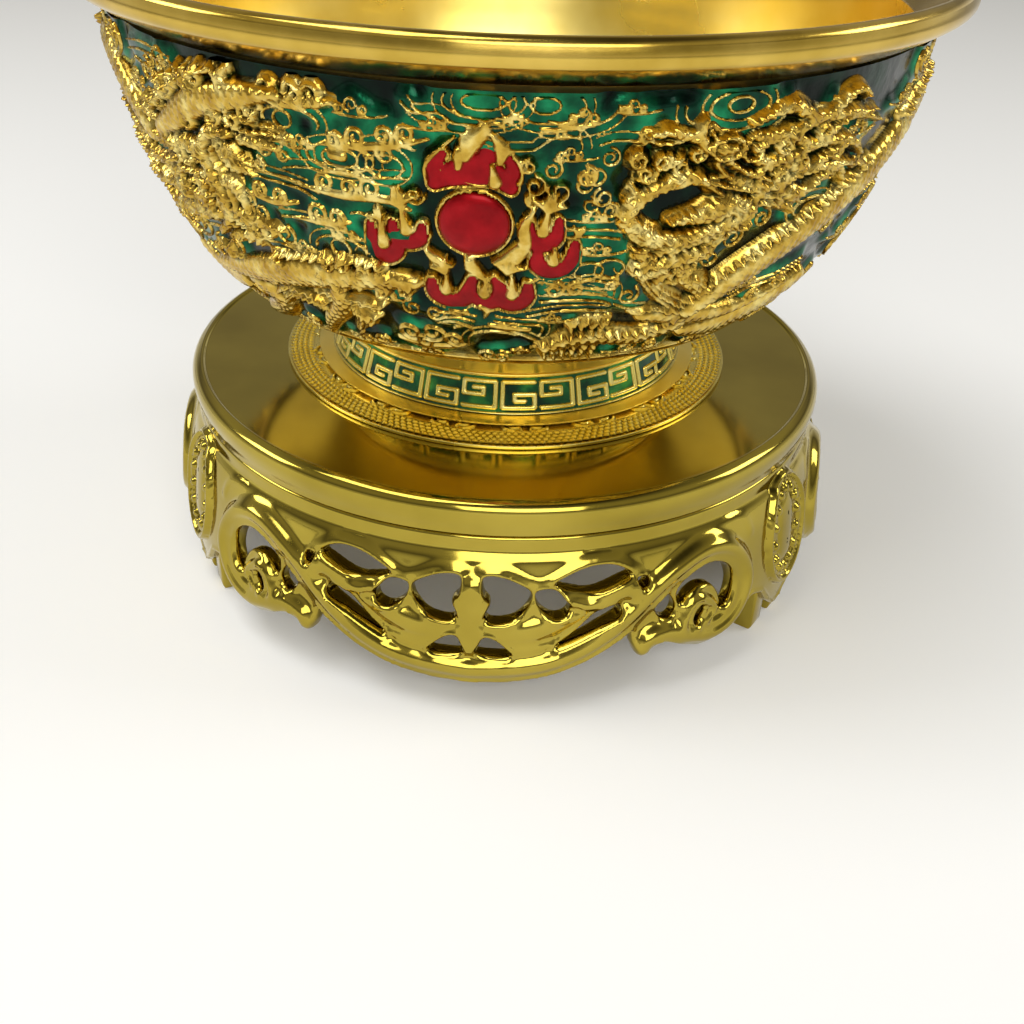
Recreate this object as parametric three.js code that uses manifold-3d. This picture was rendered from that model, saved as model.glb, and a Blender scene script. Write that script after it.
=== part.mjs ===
// A gilded enamel dragon bowl on an embossed saucer and a pierced three-legged stand.
// Millimetres, +Z up. The origin is on the ground under the middle of the stand, and the
// flaming pearl and the bat of one apron panel face -Y. Angles are in degrees round +Z,
// counted from -Y towards +X.

import * as THREE from 'three';
import { mergeVertices } from 'three/addons/utils/BufferGeometryUtils.js';
import Module from 'manifold-3d';

const wasm = await Module();
wasm.setup();

// Driving dimensions: clearances and facets
const seatGap = 0.3;
const roundFacets = 40;
const screwFacets = 10;
const wallSpans = 7;

// Driving dimensions: stand
const standHeight = 35;
const seamRadius = 53;
const plateInset = 0.9;
const plateRim = 0.5;
const plateRecess = 0.5;
const plateThickness = 1.8;
const shoulderBulge = 0.7;
const shoulderDrop = 2.2;
const seamDrop = 5.8;
const coverWall = 1.8;
const spigotDepth = 3;
const spigotWall = 1.2;
const skirtWall = 2;
const bandDepth = 2.7;
const bandBulge = 0.2;
const skirtMidBulge = 2.6;
const skirtMidHeight = 20.5;
const skirtFullBulge = 3.3;
const skirtFullHeight = 10.5;
const skirtFootBulge = 2.7;
const legCount = 3;
const legTipHeight = 3.4;
const toeHeight = 9.5;
const toeWidth = 3.6;
const toeDepth = 4.4;
const toeSpread = 3.5;
const toeBulge = 1.7;
const mouldingSteps = 13;
const mouldingRise = 1.3;
const tailRise = 1.5;
const drawnSeamHeight = 29.2;
const shieldHalfWidth = 6.2;
const shieldHalfHeight = 9.4;
const shieldHeight = 18.3;
const shieldRise = 1.1;
const screwInset = 10;
const postRadius = 3.4;
const earDrop = 13;
const earThickness = 2.4;
const screwRadius = 1.3;
const screwHeadRadius = 2.8;
const screwHeadHeight = 1.7;
const screwLength = 9;

// Driving dimensions: saucer
const saucerRadius = 37.6;
const saucerThickness = 0.5;
const saucerBorder = 4.2;
const saucerStep = 0.4;

// Driving dimensions: foot ring and its fret band
const footHeight = 6.9;
const footBaseRadius = 32.2;
const footBaseThickness = 0.9;
const fretBottomRadius = 29.5;
const fretTopRadius = 27.9;
const fretDepth = 0.5;
const footNeckRadius = 28.6;
const footWall = 2.6;

// Driving dimensions: bowl, as radius and height above the foot ring
const neckRadius = 28.9;
const underRadius = 35;
const underHeight = 5;
const kneeRadius = 42.5;
const kneeHeight = 9.2;
const flankRadius = 49.6;
const flankHeight = 17.2;
const swellRadius = 55;
const swellHeight = 28.2;
const bellyRadius = 57.6;
const bellyHeight = 38.2;
const wallTopRadius = 59;
const wallHeight = 49;
const shellWall = 1.2;
const enamelWall = 0.6;
const enamelBottom = 8.6;
const lipHeight = 6;
const lipFlare = 5.4;
const lipDrop = 3.4;
const lipWidth = 1.8;
const lipCorner = 0.4;

// Driving dimensions: relief on the wall, with places as an angle and a length up the wall
const pearlRadius = 4.2;
const pearlRise = 2.4;
const pearlAngle = -0.5;
const pearlShare = 0.7337;
const bezelWidth = 0.9;
const bezelRise = 1.4;
const flameRise = 1.5;
const dragonRise = 2.2;
const reliefStep = 9;
const reliefLift = 0.5;
const drawnWallLength = 60.65;

// Radii and heights of the stand that follow from its seam and its height
const plateRadius = seamRadius - plateInset;
const shoulderRadius = seamRadius + shoulderBulge;
const bandRadius = seamRadius + bandBulge;
const skirtMidRadius = seamRadius + skirtMidBulge;
const skirtFullRadius = seamRadius + skirtFullBulge;
const skirtFootRadius = seamRadius + skirtFootBulge;
const toeRadius = seamRadius + toeBulge;
const screwCircle = seamRadius - screwInset;
const earHeight = standHeight - earDrop;

// Heights above the ground that follow from the sizes above
const seamHeight = standHeight - seamDrop;
const plateTop = standHeight - plateRecess;
const saucerBase = plateTop + seatGap;
const saucerTop = saucerBase + saucerThickness;
const footBase = saucerTop + seatGap;
const footTop = footBase + footHeight;
const neckBase = footTop + seatGap;
const wallTop = neckBase + wallHeight;
const lipRadius = wallTopRadius + lipFlare;
const mouthRadius = lipRadius - lipWidth;
const panelAngle = 360 / legCount;

const degrees = THREE.MathUtils.degToRad;

const finish = {
  gilt: { color: 0xd9a72e, roughness: 0.25, metalness: 1 },
  mirrorGilt: { color: 0xc9a62c, roughness: 0.08, metalness: 1 },
  paleGilt: { color: 0xd8b964, roughness: 0.35, metalness: 1 },
  greenEnamel: { color: 0x0f4a38, roughness: 0.15, metalness: 0.3 },
  redEnamel: { color: 0x9c0f18, roughness: 0.2, metalness: 0.1 },
  steel: { color: 0x9a9a98, roughness: 0.35, metalness: 1 },
};

// Point at an angle, radius and height
function polar(angle, radius, height) {
  const bearing = degrees(angle);
  return new THREE.Vector3(Math.sin(bearing) * radius, -Math.cos(bearing) * radius, height);
}

// Closed geometry as a solid that can be joined and cut
function solidOf(geometry) {
  const bare = geometry.clone();
  bare.deleteAttribute('normal');
  bare.deleteAttribute('uv');
  const merged = mergeVertices(bare, 1e-4);
  const vertProperties = Float32Array.from(merged.attributes.position.array);
  let triVerts = Uint32Array.from(merged.index.array);
  if (signedVolume(vertProperties, triVerts) < 0) {
    triVerts = triVerts.map((_, place) => triVerts[place - (place % 3) + 2 - (place % 3)]);
  }
  return new wasm.Manifold(new wasm.Mesh({ numProp: 3, vertProperties, triVerts }));
}

// Volume with the sign of the winding
function signedVolume(positions, triangles) {
  const corner = (place) => new THREE.Vector3().fromArray(positions, triangles[place] * 3);
  let total = 0;
  for (let place = 0; place < triangles.length; place += 3) {
    total += corner(place).dot(corner(place + 1).cross(corner(place + 2))) / 6;
  }
  return total;
}

// Solid back as a geometry
function geometryOf(solid) {
  const mesh = solid.getMesh();
  const geometry = new THREE.BufferGeometry();
  const positions = Float32Array.from(mesh.vertProperties);
  geometry.setAttribute('position', new THREE.BufferAttribute(positions, 3));
  geometry.setIndex(new THREE.BufferAttribute(Uint32Array.from(mesh.triVerts), 1));
  geometry.computeVertexNormals();
  return geometry;
}

function joined(solids) {
  return solids.reduce((whole, piece) => whole.add(piece));
}

// Solid turned round +Z
function turned(solid, angle) {
  return solid.rotate([0, 0, angle]);
}

// Profile of [radius, height] points turned round +Z. It closes on itself, or starts and ends
// on the axis.
function revolved(profile, facets = roundFacets) {
  const first = profile[0];
  const last = profile[profile.length - 1];
  const onAxis = first[0] === 0 && last[0] === 0;
  const outline = onAxis ? profile : [...profile, first];
  const points = outline.map(([radius, height]) => new THREE.Vector2(radius, height));
  const lathe = new THREE.LatheGeometry(points, facets);
  lathe.rotateX(Math.PI / 2);
  return solidOf(lathe);
}

// Skin over a row of like sections; it closes on itself, or has flat ends
function skinned(sections, closes = false) {
  const count = sections[0].length;
  const positions = sections.flat().flatMap((point) => [point.x, point.y, point.z]);
  const index = [];
  const spans = closes ? sections.length : sections.length - 1;
  for (let row = 0; row < spans; row += 1) {
    for (let column = 0; column < count; column += 1) {
      const next = (column + 1) % count;
      const here = row * count;
      const there = ((row + 1) % sections.length) * count;
      index.push(here + column, there + column, there + next);
      index.push(here + column, there + next, here + next);
    }
  }
  if (!closes) {
    const end = (sections.length - 1) * count;
    for (let column = 1; column < count - 1; column += 1) {
      index.push(0, column, column + 1);
      index.push(end, end + column + 1, end + column);
    }
  }
  const geometry = new THREE.BufferGeometry();
  geometry.setAttribute('position', new THREE.Float32BufferAttribute(positions, 3));
  geometry.setIndex(index);
  return solidOf(geometry);
}

// Prism between two placings of one outline of [angle, height] points, the inner one first
function prismBetween(outline, placings) {
  const flat = outline.map(([angle, height]) => new THREE.Vector2(angle, height));
  const spots = THREE.ShapeUtils.isClockWise(flat) ? [...outline].reverse() : outline;
  const faces = THREE.ShapeUtils.triangulateShape(
    spots.map(([angle, height]) => new THREE.Vector2(angle, height)),
    [],
  );
  const count = spots.length;
  const points = placings.flatMap((placing) => spots.map(placing));
  const index = [];
  faces.forEach(([a, b, c]) => {
    index.push(a, c, b);
    index.push(a + count, b + count, c + count);
  });
  for (let place = 0; place < count; place += 1) {
    const next = (place + 1) % count;
    index.push(place, next, next + count);
    index.push(place, next + count, place + count);
  }
  const geometry = new THREE.BufferGeometry().setFromPoints(points);
  geometry.setIndex(index);
  return solidOf(geometry);
}

// Prism whose outline is cut square through a round wall
function radialPrism(outline, innerRadius, outerRadius) {
  const atRadius = (radius) => ([angle, height]) => polar(angle, radius, height);
  return prismBetween(outline, [atRadius(innerRadius), atRadius(outerRadius)]);
}

function mirrored(points) {
  return points.map(([angle, height]) => [-angle, height]).reverse();
}

// Radius of a curve of [radius, height] samples at a height, and its slope
function surfaceAt(samples, height) {
  let place = samples.findIndex((sample) => sample.y >= height);
  place = place < 1 ? (place === 0 ? 1 : samples.length - 1) : place;
  const low = samples[place - 1];
  const high = samples[place];
  const slope = (high.x - low.x) / (high.y - low.y);
  return { radius: low.x + slope * (height - low.y), slope };
}

// Wall of the bowl: the face of the enamel, from the foot ring to the lip
const wallStations = [
  [neckRadius, 0],
  [underRadius, underHeight],
  [kneeRadius, kneeHeight],
  [flankRadius, flankHeight],
  [swellRadius, swellHeight],
  [bellyRadius, bellyHeight],
  [wallTopRadius, wallHeight],
];
const wallPoints = wallStations.map(([radius, height]) => new THREE.Vector2(radius, height));
const wallCurve = new THREE.SplineCurve(wallPoints);
const wallSamples = wallCurve.getPoints(wallSpans);

// Wall samples moved along their normals, as [radius, height above the ground]
function wallOffset(distance, samples = wallSamples) {
  return samples.map((sample, place) => {
    const before = samples[Math.max(place - 1, 0)];
    const after = samples[Math.min(place + 1, samples.length - 1)];
    const run = new THREE.Vector2().subVectors(after, before).normalize();
    return [sample.x + run.y * distance, neckBase + sample.y - run.x * distance];
  });
}

// Length up the wall at each sample
const wallLengths = [0];
wallSamples.slice(1).forEach((sample, place) => {
  wallLengths.push(wallLengths[place] + sample.distanceTo(wallSamples[place]));
});

// Scale of the relief, which is drawn for a wall of one length
const wallReach = wallLengths[wallLengths.length - 1];
const reliefScale = wallReach / drawnWallLength;
const pearlLength = wallReach * pearlShare;

// Point on the wall of the bowl at an angle and a length up the wall, lifted off it by some distance
function onWall([angle, length], lift) {
  const above = wallLengths.findIndex((reach) => reach >= length);
  const place = above < 0 ? wallLengths.length - 1 : Math.max(above, 1);
  const share = (length - wallLengths[place - 1]) / (wallLengths[place] - wallLengths[place - 1]);
  const spot = wallSamples[place - 1].clone().lerp(wallSamples[place], share);
  const run = new THREE.Vector2().subVectors(wallSamples[place], wallSamples[place - 1]).normalize();
  return polar(angle, spot.x + run.y * lift, neckBase + spot.y - run.x * lift);
}

// Skirt of the stand: its outer face from the ground to the seam
const skirtCurve = new THREE.SplineCurve([
  new THREE.Vector2(skirtFootRadius, 0),
  new THREE.Vector2(skirtFullRadius, skirtFullHeight),
  new THREE.Vector2(skirtMidRadius, skirtMidHeight),
  new THREE.Vector2(bandRadius, seamHeight - bandDepth),
]);
const skirtSamples = [...skirtCurve.getPoints(24), new THREE.Vector2(seamRadius, seamHeight)];

function onSkirt([angle, height], lift) {
  const { radius, slope } = surfaceAt(skirtSamples, height);
  const tilt = Math.hypot(1, slope);
  return polar(angle, radius + lift / tilt, height - (lift * slope) / tilt);
}

// Strand of relief that follows a surface: a few [angle, height] points, a half-width at each
// point, and a section of [across, up] shares that is carried along them
function strand(place, points, halfWidths, section, rise, sink, steps = points.length) {
  const knots = points.map(([angle, height]) => new THREE.Vector3(angle, height, 0));
  const path = new THREE.CatmullRomCurve3(knots, false, 'centripetal');
  const sections = [];
  for (let step = 0; step <= steps; step += 1) {
    const share = step / steps;
    const spot = path.getPoint(share);
    const near = path.getPoint(Math.max(share - 0.01, 0));
    const far = path.getPoint(Math.min(share + 0.01, 1));
    const scaled = share * (halfWidths.length - 1);
    const low = Math.min(Math.floor(scaled), halfWidths.length - 2);
    const halfWidth = THREE.MathUtils.lerp(halfWidths[low], halfWidths[low + 1], scaled - low);
    const base = place([spot.x, spot.y], 0);
    const out = place([spot.x, spot.y], 1).sub(base);
    const along = place([far.x, far.y], 0).sub(place([near.x, near.y], 0)).normalize();
    const across = new THREE.Vector3().crossVectors(out, along).normalize();
    const height = rise * Math.min(1, halfWidth / Math.max(...halfWidths) + 0.35);
    sections.push(
      section.map(([side, up]) =>
        base
          .clone()
          .addScaledVector(across, side * halfWidth)
          .addScaledVector(out, sink + up * (height - sink)),
      ),
    );
  }
  return skinned(sections);
}

const halfRound = [
  [-1, 0],
  [-0.5, 1],
  [0.5, 1],
  [1, 0],
];
const broadBand = [
  [-1, 0],
  [-0.6, 1],
  [0.6, 0.8],
  [1, 0],
];

// Stand cover: a flat plate inside a low rim, with a rounded shoulder, a spigot that centres it
// in the skirt, and three posts
function standCover() {
  const spigotRadius = seamRadius - skirtWall - seatGap;
  const body = revolved([
    [0, plateTop],
    [plateRadius - plateRim, plateTop],
    [plateRadius - plateRim * 0.6, standHeight],
    [plateRadius, standHeight],
    [(plateRadius + shoulderRadius) / 2 + 0.3, standHeight - shoulderDrop * 0.35],
    [shoulderRadius, standHeight - shoulderDrop],
    [seamRadius + 0.1, seamHeight + seatGap],
    [spigotRadius, seamHeight + seatGap],
    [spigotRadius, seamHeight - spigotDepth],
    [spigotRadius - spigotWall, seamHeight - spigotDepth],
    [spigotRadius - coverWall, standHeight - plateThickness],
    [0, standHeight - plateThickness],
  ]);
  const posts = screwAngles().map((angle) => {
    const bottom = earHeight + earThickness + seatGap;
    const post = revolved([
      [0, standHeight - plateThickness + 0.5],
      [postRadius, standHeight - plateThickness + 0.5],
      [postRadius, bottom],
      [screwRadius + seatGap, bottom],
      [screwRadius + seatGap, bottom + screwLength],
      [0, bottom + screwLength],
    ], screwFacets);
    const spot = polar(angle, screwCircle, 0);
    return post.translate([spot.x, spot.y, 0]);
  });
  return joined([body, ...posts]);
}

function screwAngles() {
  return Array.from({ length: legCount }, (_, leg) => (leg + 0.5) * panelAngle);
}

// Pan-head screw, driven from below through an ear of the skirt into a post of the cover
function coverScrew(angle) {
  const headTop = earHeight - seatGap;
  const screw = revolved([
    [0, headTop - screwHeadHeight],
    [screwHeadRadius * 0.7, headTop - screwHeadHeight],
    [screwHeadRadius, headTop - screwHeadHeight * 0.5],
    [screwHeadRadius, headTop],
    [screwRadius, headTop],
    [screwRadius, headTop + screwLength],
    [0, headTop + screwLength],
  ], screwFacets);
  const spot = polar(angle, screwCircle, 0);
  return screw.translate([spot.x, spot.y, 0]);
}

// Half of an apron panel, from the middle of the bat to the middle of a leg, as [angle, height]
// points. They are drawn for a panel of 120 degrees and one height of the seam.
const panelScale = panelAngle / 120;
const skirtScale = seamHeight / drawnSeamHeight;
const apronEdge = [
  [0, 5.2],
  [8, 5.6],
  [16, 8.2],
  [24.7, 13.1],
  [25.4, 9.4],
  [27.2, 7.6],
  [29.6, 10.2],
  [34.4, 7.5],
  [39.4, 5.9],
  [44.6, 7.2],
  [48, 9.9],
  [52.6, 9.6],
  [56.4, 5.4],
  [60, legTipHeight / skirtScale],
];
const mouldingPath = [
  [0, 7.5],
  [12, 9],
  [21.5, 13.7],
  [30, 20.3],
  [37.5, 23.2],
  [43.4, 21.6],
  [46.9, 15.8],
  [44, 9.8],
  [38.4, 8.5],
  [34, 11.7],
  [36.4, 15.6],
  [39.4, 12.6],
];
const mouldingWidths = [2.3, 2.2, 2.1, 2, 2, 1.9, 1.8, 1.8, 1.8, 1.4, 1.1, 0.7];
const tailPath = [
  [39, 8.2],
  [34, 10],
  [30.5, 11.6],
  [27.6, 11],
  [26.9, 9.4],
];
const tailWidths = [1.5, 1.7, 1.7, 1.6, 1.3];
const apronHoles = {
  innerWing: [[8.7, 21.2], [5.2, 23], [2, 23.2], [1.9, 20.8], [3, 19.2], [2.2, 17.3], [3.2, 16.3],
    [6.4, 16.8], [8.6, 19]],
  outerWing: [[14.6, 19.2], [12.6, 21.2], [9.9, 21.1], [10.2, 18.8], [12.4, 17.1], [14.3, 17.5]],
  underWing: [[2.5, 13.9], [1.5, 12.3], [1, 10.9], [3.2, 10.5], [6.2, 10.8], [4.4, 12.9]],
  slot: [[13, 12], [16.4, 13.4], [19.4, 14.9], [22.4, 16.4], [22.6, 17.8], [20.6, 18.2], [18.4, 16.6],
    [16, 14.4]],
  leaf: [[12.6, 22.4], [17, 24.2], [21.4, 24.3], [24.4, 22.7], [22.5, 21.9], [18.6, 20.8], [15.6, 21.2]],
  volutePoint: [[28.9, 16.4], [30.7, 17.8], [32.4, 15.4], [31.6, 13.7], [29.7, 14.3]],
  voluteTop: [[32.6, 19], [34.6, 20.3], [36.3, 20.6], [36.6, 18.8], [34.6, 17], [33, 17.2]],
  voluteSide: [[39.3, 20.5], [42.6, 19], [44, 15.6], [43, 12.6], [41.4, 12.2], [41.3, 15.4],
    [40.3, 17.8]],
};

// Height of the apron's lower edge at an angle from the middle of a panel
function apronEdgeAt(angle) {
  const turn = Math.abs(angle) / panelScale;
  const place = Math.max(apronEdge.findIndex(([edge]) => edge >= turn - 1e-6), 1);
  const [lowAngle, lowHeight] = apronEdge[place - 1];
  const [highAngle, highHeight] = apronEdge[place];
  return THREE.MathUtils.mapLinear(turn, lowAngle, highAngle, lowHeight, highHeight) * skirtScale;
}

const onPanel = (points) => points.map(([angle, height]) => [angle * panelScale, height * skirtScale]);
const onScale = (halfWidths) => halfWidths.map((halfWidth) => halfWidth * skirtScale);

// Pierced skirt: a flaring wall with a scrolled lower edge, three legs and three pierced panels
function piercedSkirt() {
  const outerRows = [0, 0.5, 1];
  const halfAngles = apronEdge.map(([angle]) => angle * panelScale);
  const panelAngles = [...halfAngles.slice(1, -1).map((angle) => -angle).reverse(), ...halfAngles];
  const bandBase = seamHeight - bandDepth;
  const sections = [];
  for (let panel = 0; panel < legCount; panel += 1) {
    for (const angle of panelAngles) {
      const bearing = angle + panel * panelAngle;
      const edge = apronEdgeAt(angle);
      const heights = outerRows.map((row) => THREE.MathUtils.lerp(edge, bandBase, row));
      const outer = heights.map((height) => onSkirt([bearing, height], 0));
      const inner = [heights[2], heights[0]].map((height) => onSkirt([bearing, height], -skirtWall));
      const brimRadii = [seamRadius, seamRadius - skirtWall];
      const brim = brimRadii.map((radius) => polar(bearing, radius, seamHeight));
      sections.push([...outer, ...brim, ...inner]);
    }
  }
  const cutter = joined(panelCutters());
  const moulding = apronMoulding();
  const dress = legDress();
  let skirt = skinned(sections, true);
  for (let panel = 0; panel < legCount; panel += 1) {
    skirt = skirt.subtract(turned(cutter, panel * panelAngle));
    skirt = skirt.add(turned(moulding, panel * panelAngle));
    skirt = skirt.add(turned(dress, (panel + 0.5) * panelAngle));
  }
  return skirt;
}

// Moulding of one panel: two S scrolls that meet under the bat and curl into volutes beside the legs
function apronMoulding() {
  const pieces = [];
  for (const flip of [1, -1]) {
    const drawn = (points) => onPanel(points).map(([angle, height]) => [angle * flip, height]);
    const scroll = drawn(mouldingPath);
    const tail = drawn(tailPath);
    const sink = -skirtWall / 2;
    const scrollWidths = onScale(mouldingWidths);
    pieces.push(strand(onSkirt, scroll, scrollWidths, broadBand, mouldingRise, sink, mouldingSteps));
    pieces.push(strand(onSkirt, tail, onScale(tailWidths), halfRound, tailRise, sink));
  }
  return joined(pieces);
}

function panelCutters() {
  const innerReach = seamRadius - skirtWall * 4;
  const outerReach = skirtFullRadius + 4;
  return Object.values(apronHoles).flatMap((hole) => {
    const outline = onPanel(hole);
    return [outline, mirrored(outline)].map((edge) => radialPrism(edge, innerReach, outerReach));
  });
}

// Leg at angle 0: a raised oval shield, two toes and the ear for a cover screw
function legDress() {
  const shield = shieldSolid();
  const toes = [-toeSpread, toeSpread].map((offset) => toeSolid(offset));
  return joined([shield, ...toes, earSolid()]);
}

// Oval frame that stands off the leg, with a flat sunk field
function shieldSolid() {
  const turns = 12;
  const rings = [
    [1, -skirtWall * 0.5],
    [1, shieldRise * 0.4],
    [0.9, shieldRise],
    [0.76, shieldRise * 0.35],
  ];
  const sections = rings.map(([share, lift]) =>
    Array.from({ length: turns }, (_, turn) => {
      const bearing = (turn / turns) * Math.PI * 2;
      const across = Math.sin(bearing) * shieldHalfWidth * share;
      const angle = THREE.MathUtils.radToDeg(across / skirtFullRadius);
      return onSkirt([angle, shieldHeight + Math.cos(bearing) * shieldHalfHeight * share], lift);
    }),
  );
  return skinned(sections);
}

// Toe: an upright block with a round top, part hidden behind the leg
function toeSolid(offset) {
  const outline = new THREE.Shape();
  const half = toeWidth / 2;
  outline.moveTo(-half, 0);
  outline.lineTo(half, 0);
  outline.lineTo(half, toeHeight - half);
  outline.absarc(0, toeHeight - half, half, 0, Math.PI);
  const depth = { depth: toeDepth, bevelEnabled: false, curveSegments: 3 };
  const block = new THREE.ExtrudeGeometry(outline, depth);
  block.rotateX(Math.PI / 2);
  block.translate(offset, -toeRadius + toeDepth, 0);
  return solidOf(block);
}

// Ear inside a leg that a cover screw passes through
function earSolid() {
  const ear = new THREE.Shape();
  const reach = skirtMidRadius - skirtWall / 2;
  ear.moveTo(-postRadius, -screwCircle);
  ear.lineTo(-postRadius * 1.6, -reach);
  ear.lineTo(postRadius * 1.6, -reach);
  ear.lineTo(postRadius, -screwCircle);
  ear.absarc(0, -screwCircle, postRadius, 0, Math.PI);
  const hole = new THREE.Path();
  hole.absarc(0, -screwCircle, screwRadius + seatGap, 0, Math.PI * 2);
  ear.holes.push(hole);
  const depth = { depth: earThickness, bevelEnabled: false, curveSegments: 4 };
  const plate = new THREE.ExtrudeGeometry(ear, depth);
  plate.translate(0, 0, earHeight);
  return solidOf(plate);
}

// Saucer: a thin embossed disc with a raised border
function saucer() {
  return revolved([
    [0, saucerBase],
    [saucerRadius, saucerBase],
    [saucerRadius, saucerTop - saucerStep / 2],
    [saucerRadius - saucerStep, saucerTop],
    [saucerRadius - saucerBorder, saucerTop],
    [saucerRadius - saucerBorder - saucerStep, saucerTop - saucerStep / 2],
    [0, saucerTop - saucerStep / 2],
  ]);
}

// Radius of the fret band's face at a height above the foot ring's base
function fretFace(height, depth) {
  const low = footBaseThickness;
  const high = footHeight - footBaseThickness;
  return THREE.MathUtils.mapLinear(height, low, high, fretBottomRadius, fretTopRadius) - depth;
}

const bandLow = footBaseThickness;
const bandHigh = footHeight - footBaseThickness;

// Foot ring: a splayed ring with a flat base, a small bead under the bowl, and a sunk band
// between two rims
function footRing() {
  return revolved([
    [footBaseRadius, footBase],
    [footBaseRadius, footBase + footBaseThickness * 0.6],
    [fretFace(bandLow, 0), footBase + bandLow],
    [fretFace(bandLow, fretDepth), footBase + bandLow],
    [fretFace(bandHigh, fretDepth), footBase + bandHigh],
    [fretFace(bandHigh, 0), footBase + bandHigh],
    [footNeckRadius, footTop - footBaseThickness * 0.5],
    [footNeckRadius, footTop],
    [footNeckRadius - footWall, footTop],
    [fretBottomRadius - footWall, footBase],
  ]);
}

// Stretch of the wall between two heights above the foot ring, with its ends on those heights
function wallStretch(low, high) {
  const end = (height) => new THREE.Vector2(surfaceAt(wallSamples, height).radius, height);
  const between = wallSamples.filter((sample) => sample.y > low + 0.5 && sample.y < high - 0.5);
  return [end(low), ...between, end(high)];
}

// Bowl shell: a raised and spun wall with a flat floor; its face drops back above a ledge, to
// take the enamel
function bowlShell() {
  const ledge = enamelBottom - seatGap;
  const recess = enamelWall + seatGap;
  const bare = wallOffset(0, wallStretch(0, ledge));
  const covered = wallOffset(-recess, wallStretch(ledge, wallHeight));
  const inner = wallOffset(-recess - shellWall, wallStretch(underHeight, wallHeight));
  return revolved([
    [0, neckBase],
    ...bare,
    ...covered,
    ...inner.reverse(),
    [neckRadius - shellWall * 2, neckBase + shellWall],
    [0, neckBase + shellWall],
  ]);
}

// Green enamel over the wall, from the ledge above the foot ring to the lip
function wallEnamel() {
  const covered = wallStretch(enamelBottom, wallHeight - enamelWall);
  return revolved([...wallOffset(0, covered), ...wallOffset(-enamelWall, covered).reverse()]);
}

// Lip: a turned ring on the top edge of the wall, flaring out
function lipRing() {
  const base = wallTop + seatGap;
  const top = base + lipHeight;
  const innerEdge = wallTopRadius - enamelWall - seatGap - shellWall;
  return revolved([
    [innerEdge, base],
    [wallTopRadius + lipCorner, base],
    [lipRadius, top - lipDrop],
    [lipRadius, top - lipDrop * 0.2],
    [mouthRadius + lipWidth * 0.4, top],
    [mouthRadius, top - lipCorner],
  ]);
}

// Red pearl: a low dome bedded on the wall
function pearl() {
  const turns = 16;
  const rings = [
    [0.1, 0],
    [0.55, 0],
    [1, 0],
    [0.94, 0.4],
    [0.66, 0.82],
    [0.25, 1],
  ];
  const sections = rings.map(([share, up]) => {
    const lift = seatGap + up * (pearlRise - seatGap);
    return wallRing(pearlRadius * share, lift, turns);
  });
  return skinned(sections);
}

// Ring of points round the pearl, on the wall
function wallRing(radius, lift, turns) {
  const middle = onWall([0, pearlLength], 0);
  const degreesPerMm = THREE.MathUtils.radToDeg(1 / Math.abs(middle.y));
  return Array.from({ length: turns }, (_, turn) => {
    const bearing = (turn / turns) * Math.PI * 2;
    const across = Math.sin(bearing) * radius * degreesPerMm;
    return onWall([pearlAngle + across, pearlLength + Math.cos(bearing) * radius], lift);
  });
}

// Relief strands on the wall, as [angle, length up the wall] points and half-widths
const flames = [
  { path: [[-3.6, 48], [-5.2, 50.4], [-4.6, 53], [-2.8, 55.2]], widths: [1, 1.3, 1, 0.3] },
  { path: [[-1.6, 49.2], [-1.4, 52.4], [0.4, 54.6], [0.8, 57.2]], widths: [1.4, 2, 1.4, 0.3] },
  { path: [[2.4, 48], [4, 50.4], [3.4, 53], [2.8, 55.4]], widths: [1, 1.4, 1, 0.3] },
  { path: [[-4.6, 46.6], [-7, 47.6], [-9.2, 46.4], [-9, 43], [-6.8, 42], [-6.2, 44.4]],
    widths: [0.9, 1.3, 1.2, 1.4, 1.2, 0.4] },
  { path: [[-9.6, 42.8], [-11.8, 39.2], [-13.6, 41], [-13.2, 45]], widths: [1.2, 1.7, 1.2, 0.4] },
  { path: [[3.6, 47], [6.2, 48.2], [7.6, 46], [7.8, 43.2], [10, 43.6]],
    widths: [0.9, 1.5, 1.4, 1.6, 0.9] },
  { path: [[7, 42.8], [6.6, 39.6], [9.2, 37.8], [11.8, 39.6], [11.4, 43.4]],
    widths: [1.1, 1.3, 1.5, 1.3, 0.4] },
  { path: [[-1.4, 39.6], [-1, 36.8], [-2.8, 33], [-5.4, 33.2], [-6, 36.8]],
    widths: [1, 1.3, 1.4, 1.3, 0.4] },
  { path: [[0.4, 39.6], [0.6, 36], [3, 32.6], [5.8, 33.4], [5.8, 37.2]],
    widths: [1, 1.4, 1.4, 1.3, 0.4] },
];
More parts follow.
